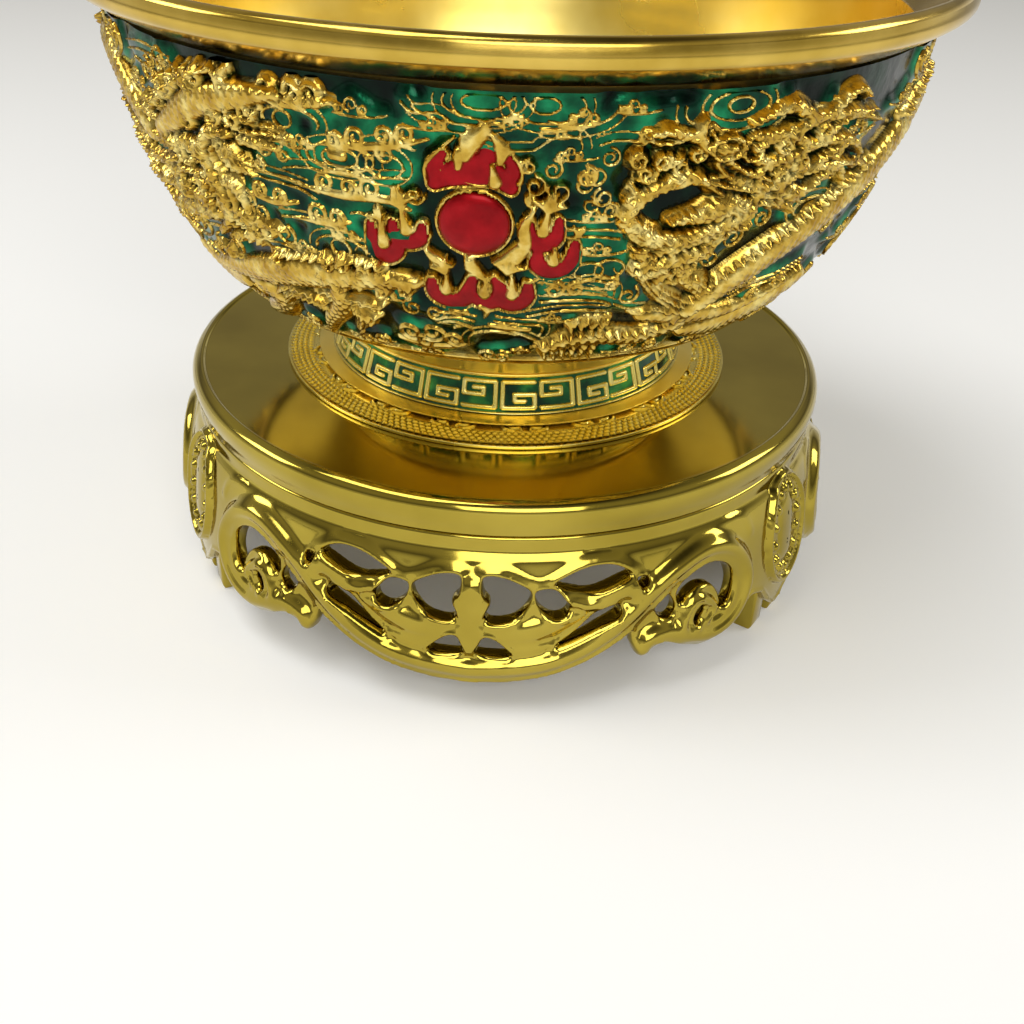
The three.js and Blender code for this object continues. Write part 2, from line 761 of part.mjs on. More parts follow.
const rightDragon = [
  { path: [[24.4, 51], [19.6, 50], [17.2, 46.8], [19.6, 43.6], [25, 42.8], [32, 45]],
    widths: [1, 1.6, 1.8, 1.6, 1.4, 1.8] },
  { path: [[23.4, 46], [28, 46.6], [33.4, 46.4]], widths: [1, 2.2, 2.6] },
  { path: [[17.6, 53.4], [20.4, 52.6], [23.4, 52.6], [27, 52.4]], widths: [1.2, 1.8, 1.8, 2.2] },
  { path: [[18.6, 56.2], [23, 56], [27.6, 54]], widths: [0.8, 1, 2.2] },
  { path: [[26.6, 53], [30.6, 51.6], [34, 48.6], [38, 47.4]], widths: [2.4, 4.2, 3.4, 1.4] },
  { path: [[31, 54], [40, 55.6], [50, 57.6], [59, 57.4]], widths: [2.6, 2.6, 2.4, 1] },
  { path: [[33, 51], [43, 52], [52, 52.6], [58, 50.6]], widths: [2.8, 2.8, 1.8, 0.6] },
  { path: [[30.6, 45], [26.4, 41.6], [21, 40.8]], widths: [1.4, 1.8, 1.2] },
  { path: [[28, 42], [25.6, 39.4], [21.4, 37.8]], widths: [1.2, 2.2, 1.4] },
  { path: [[22, 38.4], [26.4, 34.4], [32, 31.4], [36, 33.4]], widths: [1.2, 1.6, 2, 2.2] },
  { path: [[31.6, 31], [36, 34.4], [42, 38.2], [49, 42.4], [58, 45.4], [66, 50]],
    widths: [1.6, 2.6, 3, 3, 2.8, 2.6] },
  { path: [[10.4, 23.6], [16, 25.6], [22, 24.8], [28, 25.6], [33, 31]],
    widths: [0.8, 2.4, 2.4, 2.4, 1.6] },
  { path: [[30, 27], [38, 26.6], [46, 27.6], [54, 31.6]], widths: [1.8, 2.4, 2.2, 0.6] },
  { path: [[63, 49], [76, 53], [88, 49], [97, 40], [107, 34], [119, 37], [130, 46], [142, 50],
      [154, 44], [166, 35]],
    widths: [2.6, 3, 3.1, 3, 2.8, 2.6, 2.3, 1.9, 1.3, 0.5] },
  { path: [[92, 45], [84, 39], [85, 33], [80, 30]], widths: [1.8, 2, 1.5, 0.4] },
  { path: [[126, 42], [119, 47], [121, 52], [116, 55]], widths: [1.6, 1.8, 1.4, 0.4] },
];
const leftDragon = [
  { path: [[-31, 52], [-36.4, 51], [-36.8, 46.4], [-35.4, 42], [-38.6, 38.2]],
    widths: [1.8, 2.2, 1.8, 1.6, 1.8] },
  { path: [[-36, 46], [-40, 45], [-44, 44.6], [-49, 41.6], [-54, 41]],
    widths: [1.8, 3.8, 3.8, 2.4, 0.8] },
  { path: [[-38, 40], [-44, 38.8], [-51, 38.4]], widths: [1.8, 2.2, 0.8] },
  { path: [[-44, 47], [-51, 48], [-60, 52.4]], widths: [2.4, 2, 0.6] },
  { path: [[-16.4, 58.2], [-23, 57.8], [-29, 56.2], [-35, 54.6], [-42, 51.6], [-46, 48.6]],
    widths: [1, 1.8, 3, 3.6, 3.2, 2.4] },
  { path: [[-32, 52.6], [-27, 53], [-22.4, 53]], widths: [1.8, 1.5, 0.8] },
  { path: [[-36.4, 42], [-33.6, 40.2], [-30, 39.6], [-25.8, 38.6]], widths: [1.6, 2, 1.8, 1.2] },
  { path: [[-37, 38], [-37.4, 35], [-33, 32.8], [-27, 32.6]], widths: [1.2, 1, 2, 2.4] },
  { path: [[-8.6, 35], [-14, 34.8], [-20, 34], [-27, 32.4], [-35, 30.2], [-43, 28.6]],
    widths: [1, 2.2, 3, 3, 2.8, 2.2] },
  { path: [[-21, 31.6], [-21.6, 27.6], [-26, 24.4], [-33, 26.4], [-38, 29.4]],
    widths: [1.6, 2, 2.2, 2, 1.4] },
  { path: [[-52, 49], [-60, 55], [-68, 56], [-78, 50], [-88, 43], [-99, 46], [-110, 52],
      [-122, 50], [-132, 41], [-144, 34], [-156, 38], [-168, 47]],
    widths: [2, 2.4, 2.8, 3, 3, 2.9, 2.8, 2.6, 2.3, 1.9, 1.3, 0.5] },
  { path: [[-79, 48], [-72, 42], [-73, 36], [-67, 32]], widths: [1.8, 2, 1.5, 0.4] },
  { path: [[-108, 50], [-116, 54], [-124, 56]], widths: [1.8, 1.4, 0.4] },
];

function wallStrands(list, rise) {
  const strands = list.map(({ path, widths }) => {
    const turn = Math.abs(path[path.length - 1][0] - path[0][0]);
    const steps = Math.max(path.length, Math.ceil(turn / reliefStep));
    const points = path.map(([angle, length]) => [angle, length * reliefScale]);
    const halfWidths = widths.map((halfWidth) => halfWidth * reliefScale);
    return strand(onWall, points, halfWidths, halfRound, rise, reliefLift, steps);
  });
  return joined(strands);
}

// Mount of the pearl: a round bezel with the flames that stand round it
function pearlMount() {
  const turns = 16;
  const inner = pearlRadius + seatGap;
  const outer = inner + bezelWidth;
  const bezel = skinned([
    wallRing(inner, seatGap, turns),
    wallRing(inner, bezelRise, turns),
    wallRing(outer, bezelRise * 0.7, turns),
    wallRing(outer, seatGap, turns),
  ], true);
  return bezel.add(wallStrands(flames, flameRise).subtract(wallPlug(inner)));
}

// Plug that keeps the flames clear of the pearl
function wallPlug(radius) {
  return skinned([wallRing(radius, -1, 16), wallRing(radius, pearlRise + 2, 16)]);
}

const group = new THREE.Group();

function place(name, solid, look) {
  const mesh = new THREE.Mesh(geometryOf(solid), new THREE.MeshStandardMaterial(look));
  mesh.name = name;
  group.add(mesh);
}

place('stand_skirt', piercedSkirt(), finish.mirrorGilt);
place('stand_cover', standCover(), finish.mirrorGilt);
screwAngles().forEach((angle, number) => {
  place(`cover_screw_${number + 1}`, coverScrew(angle), finish.steel);
});
place('saucer', saucer(), finish.gilt);
place('foot_ring', footRing(), finish.gilt);
place('bowl_shell', bowlShell(), finish.gilt);
place('wall_enamel', wallEnamel(), finish.greenEnamel);
place('lip_ring', lipRing(), finish.paleGilt);

place('pearl', pearl(), finish.redEnamel);
place('pearl_mount', pearlMount(), finish.gilt);
place('dragon_right', wallStrands(rightDragon, dragonRise), finish.gilt);
place('dragon_left', wallStrands(leftDragon, dragonRise), finish.gilt);

export default group;
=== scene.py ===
"""Dressed scene of a gilded enamel bowl with two dragons, on a saucer and a pierced stand.

Lengths are in millimetres until a mesh is made, and metres from there. Angles are in degrees
round +Z, counted from -Y towards +X, so the flaming pearl is at 0. A place on the bowl's wall is
an angle and a length up the wall from its foot.
"""

from __future__ import annotations

import logging
import math
from dataclasses import dataclass, field
from enum import Enum
from typing import Iterable, Sequence

import bpy
import numpy as np
from mathutils import Matrix, Vector


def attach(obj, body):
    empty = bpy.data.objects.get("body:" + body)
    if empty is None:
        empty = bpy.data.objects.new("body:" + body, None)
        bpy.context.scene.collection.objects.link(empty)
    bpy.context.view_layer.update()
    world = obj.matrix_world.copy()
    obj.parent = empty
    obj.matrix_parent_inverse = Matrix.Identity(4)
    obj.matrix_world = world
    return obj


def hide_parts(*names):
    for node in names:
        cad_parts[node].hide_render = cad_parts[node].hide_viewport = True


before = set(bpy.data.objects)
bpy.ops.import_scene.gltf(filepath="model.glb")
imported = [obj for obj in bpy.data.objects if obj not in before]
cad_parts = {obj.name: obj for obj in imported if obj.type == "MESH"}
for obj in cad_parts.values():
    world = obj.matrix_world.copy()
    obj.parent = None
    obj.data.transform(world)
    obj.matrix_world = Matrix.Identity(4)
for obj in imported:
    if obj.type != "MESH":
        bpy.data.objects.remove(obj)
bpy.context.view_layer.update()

LOG = logging.getLogger("bowl")
MM = 0.001
LATHE_FACETS = 256
PHOTO_PIXELS = 1024
SENSOR_WIDTH = 36.0
# Most values of a noise lie between these
NOISE_LOW, NOISE_HIGH = 0.3, 0.7
TONES_LOW, TONES_HIGH = 0.32, 0.68
# Share of a half-width where no strand reaches
OUT_OF_REACH = 9.0


# Shapes as whole arrays


def polar(angle: np.ndarray, radius: np.ndarray, height: np.ndarray) -> np.ndarray:
    """Points at angles, radii and heights: x = r sin a, y = -r cos a, z = h.

    Args:
        angle: Degrees round +Z.
        radius: Millimetres from the axis.
        height: Millimetres above the ground.

    Returns:
        Array with the shape of the inputs and a last axis of 3.
    """
    bearing = np.radians(angle)
    x, y, z = np.broadcast_arrays(radius * np.sin(bearing), -radius * np.cos(bearing), height)
    return np.stack([x, y, z], axis=-1)


def curve_through(knots: Sequence, count: int, closed: bool = False) -> np.ndarray:
    """Uniform Catmull-Rom curve through a, b, c, d and so on.

    From b to c, p = (2b + (c - a)t + (2a - 5b + 4c - d)t2 + (3b - a - 3c + d)t3) / 2.

    Args:
        knots: Points the curve passes through, one row each.
        count: How many points are wanted.
        closed: Whether the last knot joins the first.

    Returns:
        Array of count rows.
    """
    points = np.asarray(knots, float)
    last = len(points) if closed else len(points) - 1
    share = np.linspace(0, last, count, endpoint=not closed)
    low = np.minimum(share.astype(int), last - 1)
    t = (share - low)[:, None]
    picks = [low - 1, low, low + 1, low + 2]
    size = len(points)
    wrap = (lambda i: i % size) if closed else (lambda i: np.clip(i, 0, size - 1))
    a, b, c, d = (points[wrap(i)] for i in picks)
    cubic = 3 * b - a - 3 * c + d
    return 0.5 * (2 * b + (c - a) * t + (2 * a - 5 * b + 4 * c - d) * t**2 + cubic * t**3)


def eased(outline: Sequence, radius: float, steps: int = 4, closed: bool = True) -> np.ndarray:
    """Outline with each corner c drawn as the curve (1 - t)2 a + 2t(1 - t) c + t2 b.

    Args:
        outline: Corner points in order.
        radius: How far from a corner its curve starts.
        steps: Spans of each curve.
        closed: Whether the outline closes on itself; open ends keep their points.

    Returns:
        Array of points.
    """
    points = np.asarray(outline, float)
    before = np.roll(points, 1, axis=0) - points
    after = np.roll(points, -1, axis=0) - points
    ways = []
    for way in (before, after):
        length = np.maximum(np.linalg.norm(way, axis=1, keepdims=True), 1e-9)
        ways.append(way / length * np.minimum(radius, length * 0.45))
    t = np.linspace(0, 1, steps + 1)[None, :, None]
    start = (points + ways[0])[:, None]
    end = (points + ways[1])[:, None]
    curves = (1 - t) ** 2 * start + 2 * t * (1 - t) * points[:, None] + t**2 * end
    if closed:
        return curves.reshape(-1, points.shape[1])
    middle = curves[1:-1].reshape(-1, points.shape[1])
    return np.concatenate([points[:1], middle, points[-1:]])


def grid_faces(rows: int, columns: int, wraps: bool = False) -> np.ndarray:
    """Quads over a grid of points, (row, column) to (row + 1, column + 1).

    Args:
        rows: Rows of points.
        columns: Columns of points.
        wraps: Whether the last column joins the first.

    Returns:
        Array of quads.
    """
    index = np.arange(rows * columns).reshape(rows, columns)
    right = np.roll(index, -1, axis=1)
    if not wraps:
        index, right = index[:, :-1], right[:, :-1]
    quads = np.stack([index[:-1], index[1:], right[1:], right[:-1]], axis=-1)
    return quads.reshape(-1, 4)


def lathe(profile: np.ndarray, facets: int = LATHE_FACETS) -> tuple[np.ndarray, list[np.ndarray]]:
    """Profile of [radius, height] turned round +Z: p(i, a) = polar(a, r_i, h_i).

    Args:
        profile: A closed outline, or one that starts and ends on the axis.
        facets: Facets round the axis.

    Returns:
        Points, and a list of face arrays whose normals point outwards.
    """
    profile = np.asarray(profile, float)
    radius, height = profile.T
    turn = radius * np.roll(height, -1) - np.roll(radius, -1) * height
    if turn.sum() > 0:
        profile = profile[::-1]
    radius, height = profile.T
    on_axis = radius[0] < 1e-9
    angle = np.arange(facets) * 360 / facets
    if not on_axis:
        points = polar(angle[None], radius[:, None], height[:, None])
        quads = grid_faces(len(profile), facets, wraps=True)
        last = (len(profile) - 1) * facets + np.arange(facets)
        first = np.arange(facets)
        closing = np.stack([last, first, np.roll(first, -1), np.roll(last, -1)], axis=-1)
        return points.reshape(-1, 3), [np.concatenate([quads, closing])]
    points = polar(angle[None], radius[1:-1, None], height[1:-1, None]).reshape(-1, 3)
    poles = np.array([[0, 0, height[0]], [0, 0, height[-1]]])
    first = np.arange(facets)
    last = len(points) - facets + first
    top = np.stack([np.full(facets, len(points)), first, np.roll(first, -1)], axis=-1)
    bottom = np.stack([np.full(facets, len(points) + 1), np.roll(last, -1), last], axis=-1)
    quads = grid_faces(len(profile) - 2, facets, wraps=True)
    return np.concatenate([points, poles]), [quads, np.concatenate([top, bottom])]


def vertex_normals(points: np.ndarray, quads: np.ndarray) -> np.ndarray:
    """Unit normals of points: the sum of (c - a) x (d - b) over the quads round each.

    Args:
        points: Point array.
        quads: Quad array.

    Returns:
        Array of unit vectors.
    """
    a, b, c, d = (points[quads[:, i]] for i in range(4))
    face = np.cross(c - a, d - b)
    total = np.zeros_like(points)
    for corner in range(4):
        for axis in range(3):
            total[:, axis] += np.bincount(quads[:, corner], face[:, axis], len(points))
    return total / np.maximum(np.linalg.norm(total, axis=1, keepdims=True), 1e-12)


def smoothed(points: np.ndarray, quads: np.ndarray, rounds: int) -> np.ndarray:
    """Points moved towards the mean of their faces' middles and a little back, round by round.

    Args:
        points: Points of a mesh.
        quads: Its faces.
        rounds: Number of rounds.

    Returns:
        The moved points.
    """
    count = np.bincount(quads.ravel(), minlength=len(points))[:, None]
    for share in (0.6, -0.55) * rounds:
        middle = np.repeat(points[quads].mean(1), 4, axis=0)
        sums = [np.bincount(quads.ravel(), middle[:, i], len(points)) for i in range(3)]
        total = np.column_stack(sums)
        points = points + share * (total / count - points)
    return points


def box_blur(values: np.ndarray, reach: int) -> np.ndarray:
    """Mean over a square of 2 reach + 1 cells, by sums along each axis.

    Args:
        values: Grid of values; its columns wrap and its outer rows are held.
        reach: Cells from the middle of the square to its edge.

    Returns:
        Array with the shape of the values.
    """
    rows = np.pad(values, ((reach, reach), (0, 0)), mode="edge")
    total = np.cumsum(np.pad(rows, ((1, 0), (0, 0))), axis=0)
    rows = total[2 * reach + 1 :] - total[: -2 * reach - 1]
    columns = np.pad(rows, ((0, 0), (reach, reach)), mode="wrap")
    total = np.cumsum(np.pad(columns, ((0, 0), (1, 0))), axis=1)
    return (total[:, 2 * reach + 1 :] - total[:, : -2 * reach - 1]) / (2 * reach + 1) ** 2


def level_surface(values: np.ndarray) -> tuple[np.ndarray, np.ndarray]:
    """Surface where values on a 3-D grid pass zero, one point a cell, at the mean of its crossings.

    Args:
        values: Grid that is positive inside the solid.

    Returns:
        Points in grid steps, and quads whose normals point away from the positive side.
    """
    inside = values > 0
    count = np.zeros([size - 1 for size in values.shape], np.int8)
    corners = [(i, j, k) for i in (0, 1) for j in (0, 1) for k in (0, 1)]
    shape = count.shape
    for i, j, k in corners:
        count += inside[i : i + shape[0], j : j + shape[1], k : k + shape[2]]
    cells = np.argwhere((count > 0) & (count < 8))
    total = np.zeros((len(cells), 3))
    crossings = np.zeros(len(cells))
    for axis in range(3):
        step = np.eye(3, dtype=int)[axis]
        for corner in (np.array(c) for c in corners if c[axis] == 0):
            here = cells + corner
            there = here + step
            f0 = values[tuple(here.T)]
            f1 = values[tuple(there.T)]
            crossed = (f0 > 0) != (f1 > 0)
            share = np.where(crossed, f0 / np.where(crossed, f0 - f1, 1), 0)
            total += np.where(crossed[:, None], here + share[:, None] * step, 0)
            crossings += crossed
    points = total / crossings[:, None]
    index = np.full(shape, -1)
    index[tuple(cells.T)] = np.arange(len(cells))
    quads = []
    for axis in range(3):
        step = np.eye(3, dtype=int)[axis]
        ahead = np.roll(inside, -1, axis=axis)
        edges = np.argwhere(inside != ahead)
        edges = edges[edges[:, axis] < shape[axis]]
        u, v = (np.eye(3, dtype=int)[(axis + n) % 3] for n in (1, 2))
        keep = (edges @ u > 0) & (edges @ v > 0) & (edges @ u < shape[(axis + 1) % 3])
        edges = edges[keep & (edges @ v < shape[(axis + 2) % 3])]
        ring = [index[tuple((edges - shift).T)] for shift in (0 * u, u, u + v, v)]
        quad = np.stack(ring, axis=-1)
        leaving = inside[tuple(edges.T)]
        quads.append(np.where(leaving[:, None], quad, quad[:, ::-1]))
    return points, np.concatenate(quads)


# Materials


def linear(colour: str) -> tuple[float, float, float, float]:
    """Linear RGBA of a colour: ((c + 0.055) / 1.055) ^ 2.4 above 0.04045, c / 12.92 below.

    Args:
        colour: sRGB colour as # and six hex digits.

    Returns:
        Red, green, blue and alpha, from 0 to 1.
    """
    parts = [int(colour[i : i + 2], 16) / 255 for i in (1, 3, 5)]
    curve = [((c + 0.055) / 1.055) ** 2.4 if c > 0.04045 else c / 12.92 for c in parts]
    return (*curve, 1.0)


def per_metre(size: float) -> float:
    """Texture scale whose features are a size in millimetres across."""
    return 1 / (size * MM)


def add_node(
    tree: bpy.types.NodeTree, kind: str, inputs: dict, stops: Sequence = (), **settings: object
) -> bpy.types.Node:
    """Node with its settings and inputs.

    Args:
        tree: Node tree that gets the node.
        kind: Blender's node type.
        inputs: Socket name or number to a value or to the output socket that feeds it.
        stops: Pairs of a place from 0 to 1 and a hex colour, for a node with a colour ramp.
        **settings: Properties of the node.

    Returns:
        The node.
    """
    node = tree.nodes.new(kind)
    for name, value in settings.items():
        setattr(node, name, value)
    for name, value in inputs.items():
        if isinstance(value, bpy.types.NodeSocket):
            tree.links.new(value, node.inputs[name])
        else:
            node.inputs[name].default_value = value
    if stops:
        elements = node.color_ramp.elements
        while len(elements) < len(stops):
            elements.new(0.5)
        for element, (place, colour) in zip(elements, stops):
            element.position = place
            element.color = linear(colour)
    return node


@dataclass(frozen=True)
class Finish:
    """Surface finish that makes one Principled material; its sizes are in millimetres.

    The painted shade is the colour painted into the low places as shade, and turned is one
    radian of the turning lines, which are 2 pi times as far apart.
    """

    name: str
    tones: tuple[str, ...]
    tone_size: float
    roughness: tuple[float, float]
    grain_size: float
    grain_depth: float
    metallic: float = 1.0
    coat: float = 0.0
    coat_roughness: float = 0.05
    painted_shade: str | None = None
    turned: float = 0.0
    turned_depth: float = 0.004

    def material(self) -> bpy.types.Material:
        """Material of the finish, made once.

        Colour and roughness follow one noise n: the tones lie evenly from TONES_LOW to TONES_HIGH,
        and the roughness runs over its range from NOISE_LOW to NOISE_HIGH. The painted_shade
        attribute of the piece mixes the colour towards the painted shade colour of the low places.

        Returns:
            The material.
        """
        known = bpy.data.materials.get(self.name)
        if known:
            return known
        made = bpy.data.materials.new(self.name)
        made.use_nodes = True
        tree = made.node_tree
        shader = tree.nodes["Principled BSDF"]
        place = add_node(tree, "ShaderNodeTexCoord", {}).outputs["Object"]
        spots = {"Vector": place, "Scale": per_metre(self.tone_size), "Detail": 4.0}
        cloud = add_node(tree, "ShaderNodeTexNoise", spots).outputs["Fac"]
        places = np.linspace(TONES_LOW, TONES_HIGH, len(self.tones))
        stops = list(zip(places.tolist(), self.tones))
        colour = add_node(tree, "ShaderNodeValToRGB", {"Fac": cloud}, stops).outputs["Color"]
        smooth, rough = self.roughness
        span = {"From Min": NOISE_LOW, "From Max": NOISE_HIGH, "To Min": smooth, "To Max": rough}
        gloss = add_node(tree, "ShaderNodeMapRange", {"Value": cloud, **span}).outputs["Result"]
        # Painted shade: the colour is mixed towards a darker one by the piece's painted_shade
        # attribute
        if self.painted_shade:
            depth = add_node(tree, "ShaderNodeAttribute", {}, attribute_name="painted_shade")
            shades = {0: depth.outputs["Fac"], 6: colour, 7: linear(self.painted_shade)}
            colour = add_node(tree, "ShaderNodeMix", shades, data_type="RGBA").outputs[2]
        grains = {"Vector": place, "Scale": per_metre(self.grain_size), "Detail": 3.0}
        grain = add_node(tree, "ShaderNodeTexNoise", grains).outputs["Fac"]
        raised = {"Height": grain, "Strength": 1.0, "Distance": self.grain_depth * MM}
        normal = add_node(tree, "ShaderNodeBump", raised).outputs["Normal"]
        if self.turned:
            # The wave's sine takes 20 times its coordinate
            scale = per_metre(self.turned) / 20
            lathe_lines = add_node(
                tree, "ShaderNodeTexWave",
                {"Vector": place, "Scale": scale, "Distortion": 1.5, "Detail": 2.0},
                wave_type="BANDS", bands_direction="Z",
            ).outputs["Fac"]
            raised = {"Height": lathe_lines, "Strength": 1.0, "Distance": self.turned_depth * MM}
            raised["Normal"] = normal
            normal = add_node(tree, "ShaderNodeBump", raised).outputs["Normal"]
        tree.links.new(colour, shader.inputs["Base Color"])
        tree.links.new(gloss, shader.inputs["Roughness"])
        tree.links.new(normal, shader.inputs["Normal"])
        shader.inputs["Metallic"].default_value = self.metallic
        shader.inputs["Coat Weight"].default_value = self.coat
        shader.inputs["Coat Roughness"].default_value = self.coat_roughness
        return made


# ABS, moulded smooth, vacuum-plated and lacquered gold: a greenish mirror with a faint orange peel
MIRROR_PLATING = Finish(
    "mirror_gold_plated_abs", ("#9c8932", "#b6a244"), 22, (0.07, 0.12), 2.6, 0.003
)
# Brass, cast and gilded: warm gold on the high places, and near-black green in the low ones,
# painted shade over the green of the enamel left there
CAST_GILDING = Finish(
    "cast_gilded_brass", ("#a8822c", "#cfac4a", "#f0da84"), 2.4, (0.15, 0.27), 0.6, 0.05,
    painted_shade="#141a04",
)
# Brass, stamped and gilded: clean bright yellow that sparkles on the small beads and the
# spirals, with painted shade of dark olive in the low places
STAMPED_GILDING = Finish(
    "stamped_gilded_brass", ("#e4cc62", "#f4e48c"), 6, (0.2, 0.32), 0.7, 0.008, painted_shade="#3e3206"
)
# Brass, turned and gilded: satin yellow with lines that run round, 2.2 mm apart, which is coarser
# than the real ones so that they show
SATIN_GILDING = Finish(
    "satin_gilded_brass", ("#bf9f40", "#dcbc5c"), 9, (0.14, 0.24), 0.5, 0.003, turned=0.35
)
# Brass, spun and gilded: the bright inside and the plain underside of the bowl
SPUN_GILDING = Finish(
    "spun_gilded_brass", ("#f0d468", "#fae488"), 14, (0.26, 0.34), 0.9, 0.004, turned=0.5
)
# Enamel, transparent green over gilded ground: emerald tones, with painted shade to nearly
# black in the low places between the lines
GREEN_ENAMEL = Finish(
    "transparent_green_enamel", ("#022016", "#053e29", "#0a603c", "#1b8c5a"), 4.2, (0.16, 0.26),
    2.2, 0.12, metallic=0.92, coat=0.12, painted_shade="#000602",
)
# Enamel, transparent green over the bright gilt foot: the thin layer lets yellow through
FRET_ENAMEL = Finish(
    "thin_green_enamel", ("#04260f", "#0f5526", "#469638"), 4.5, (0.14, 0.24), 1.6, 0.05,
    metallic=0.9, coat=0.4,
)
# Enamel, opaque red: deep crimson under a glassy skin
RED_ENAMEL = Finish(
    "opaque_red_enamel", ("#84060d", "#980a13", "#ac101a"), 2.6, (0.4, 0.5), 1.2, 0.012,
    coat=0.2, coat_roughness=0.2,
)
# Steel, cold-headed and zinc-plated: plain grey screws under the stand
ZINC_STEEL = Finish("zinc_plated_steel", ("#8f9192", "#a6a8a8"), 2, (0.3, 0.42), 0.3, 0.004)


# Pieces


def make_piece(
    name: str,
    points: np.ndarray,
    faces: Sequence[np.ndarray],
    finish: Finish,
    body: str,
    slot: str,
    replaces: Sequence[str] = (),
    normals: np.ndarray | None = None,
    painted_shade: np.ndarray | None = None,
    sharp: float | None = 38.0,
) -> None:
    """Make the object of a mesh, dress it and let it ride on its body.

    Args:
        name: Name of the piece.
        points: Points in millimetres.
        faces: Arrays of triangles or quads.
        finish: Finish of the surface.
        body: Body that the piece rides on.
        slot: Material slot of the record; not used.
        replaces: CAD nodes that the piece stands for.
        normals: Unit normals at the points, where the neighbours' faces count too.
        painted_shade: Depth of each point in its surroundings, 0 to 1, for painted shade.
        sharp: Angle in degrees past which an edge stays sharp.
    """
    mesh = bpy.data.meshes.new(name)
    corners = np.concatenate([array.ravel() for array in faces]).astype(np.int32)
    sizes = np.concatenate([np.full(len(array), array.shape[1]) for array in faces])
    starts = np.concatenate([[0], np.cumsum(sizes)[:-1]]).astype(np.int32)
    mesh.vertices.add(len(points))
    mesh.vertices.foreach_set("co", (points * MM).astype(np.float32).ravel())
    mesh.loops.add(len(corners))
    mesh.loops.foreach_set("vertex_index", corners)
    mesh.polygons.add(len(sizes))
    mesh.polygons.foreach_set("loop_start", starts)
    mesh.update(calc_edges=True)
    mesh.shade_smooth()
    if sharp is not None:
        mesh.set_sharp_from_angle(angle=math.radians(sharp))
    if normals is not None:
        mesh.normals_split_custom_set_from_vertices(normals.tolist())
    if painted_shade is not None:
        layer = mesh.attributes.new("painted_shade", "FLOAT", "POINT")
        layer.data.foreach_set("value", painted_shade.astype(np.float32))
    mesh.materials.append(finish.material())
    piece = bpy.data.objects.new(name, mesh)
    bpy.context.scene.collection.objects.link(piece)
    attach(piece, body)
    if replaces:
        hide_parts(*replaces)
    triangles = sum(len(array) * (array.shape[1] - 2) for array in faces)
    LOG.info("%s: %d triangles on %s", name, triangles, body)


def patch(
    points: np.ndarray, normals: np.ndarray, painted_shade: np.ndarray, quads: np.ndarray
) -> tuple[np.ndarray, np.ndarray, np.ndarray, np.ndarray]:
    """The points, normals and painted shade that some quads use, with the quads renumbered."""
    used, renumbered = np.unique(quads, return_inverse=True)
    return points[used], normals[used], painted_shade[used], renumbered.reshape(quads.shape)


class Cut(Enum):
    """Cross-section and surface pattern of a strand of relief."""

    ROUND = "round"
    GROOVED = "grooved"
    SCALED = "scaled"
    BEADED = "beaded"
    FLAT = "flat"


@dataclass(frozen=True)
class Strand:
    """Line of relief: a path of (angle, length), half-widths along it, a rise and a cut."""

    path: Sequence
    widths: Sequence[float]
    rise: float = 1.0
    cut: Cut = Cut.ROUND
    curved: bool = True

    def line(self, spacing: float, mm_per_degree: float) -> np.ndarray:
        """Rows of angle, length and half-width along the path.

        Args:
            spacing: Millimetres between the rows.
            mm_per_degree: Millimetres in a degree round the axis.

        Returns:
            Array with three columns.
        """
        path = np.asarray(self.path, float)
        share = np.linspace(0, len(self.widths) - 1, len(path))
        widths = np.interp(share, np.arange(len(self.widths)), self.widths)
        knots = np.column_stack([path, widths])
        reach = np.hypot(np.diff(path[:, 0]) * mm_per_degree, np.diff(path[:, 1])).sum()
        count = max(int(reach / spacing) + 2, len(path))
        if self.curved:
            return curve_through(knots, count)
        steps = np.linspace(0, len(path) - 1, len(path))
        return np.column_stack([np.interp(steps, steps, knots[:, i]) for i in range(3)])


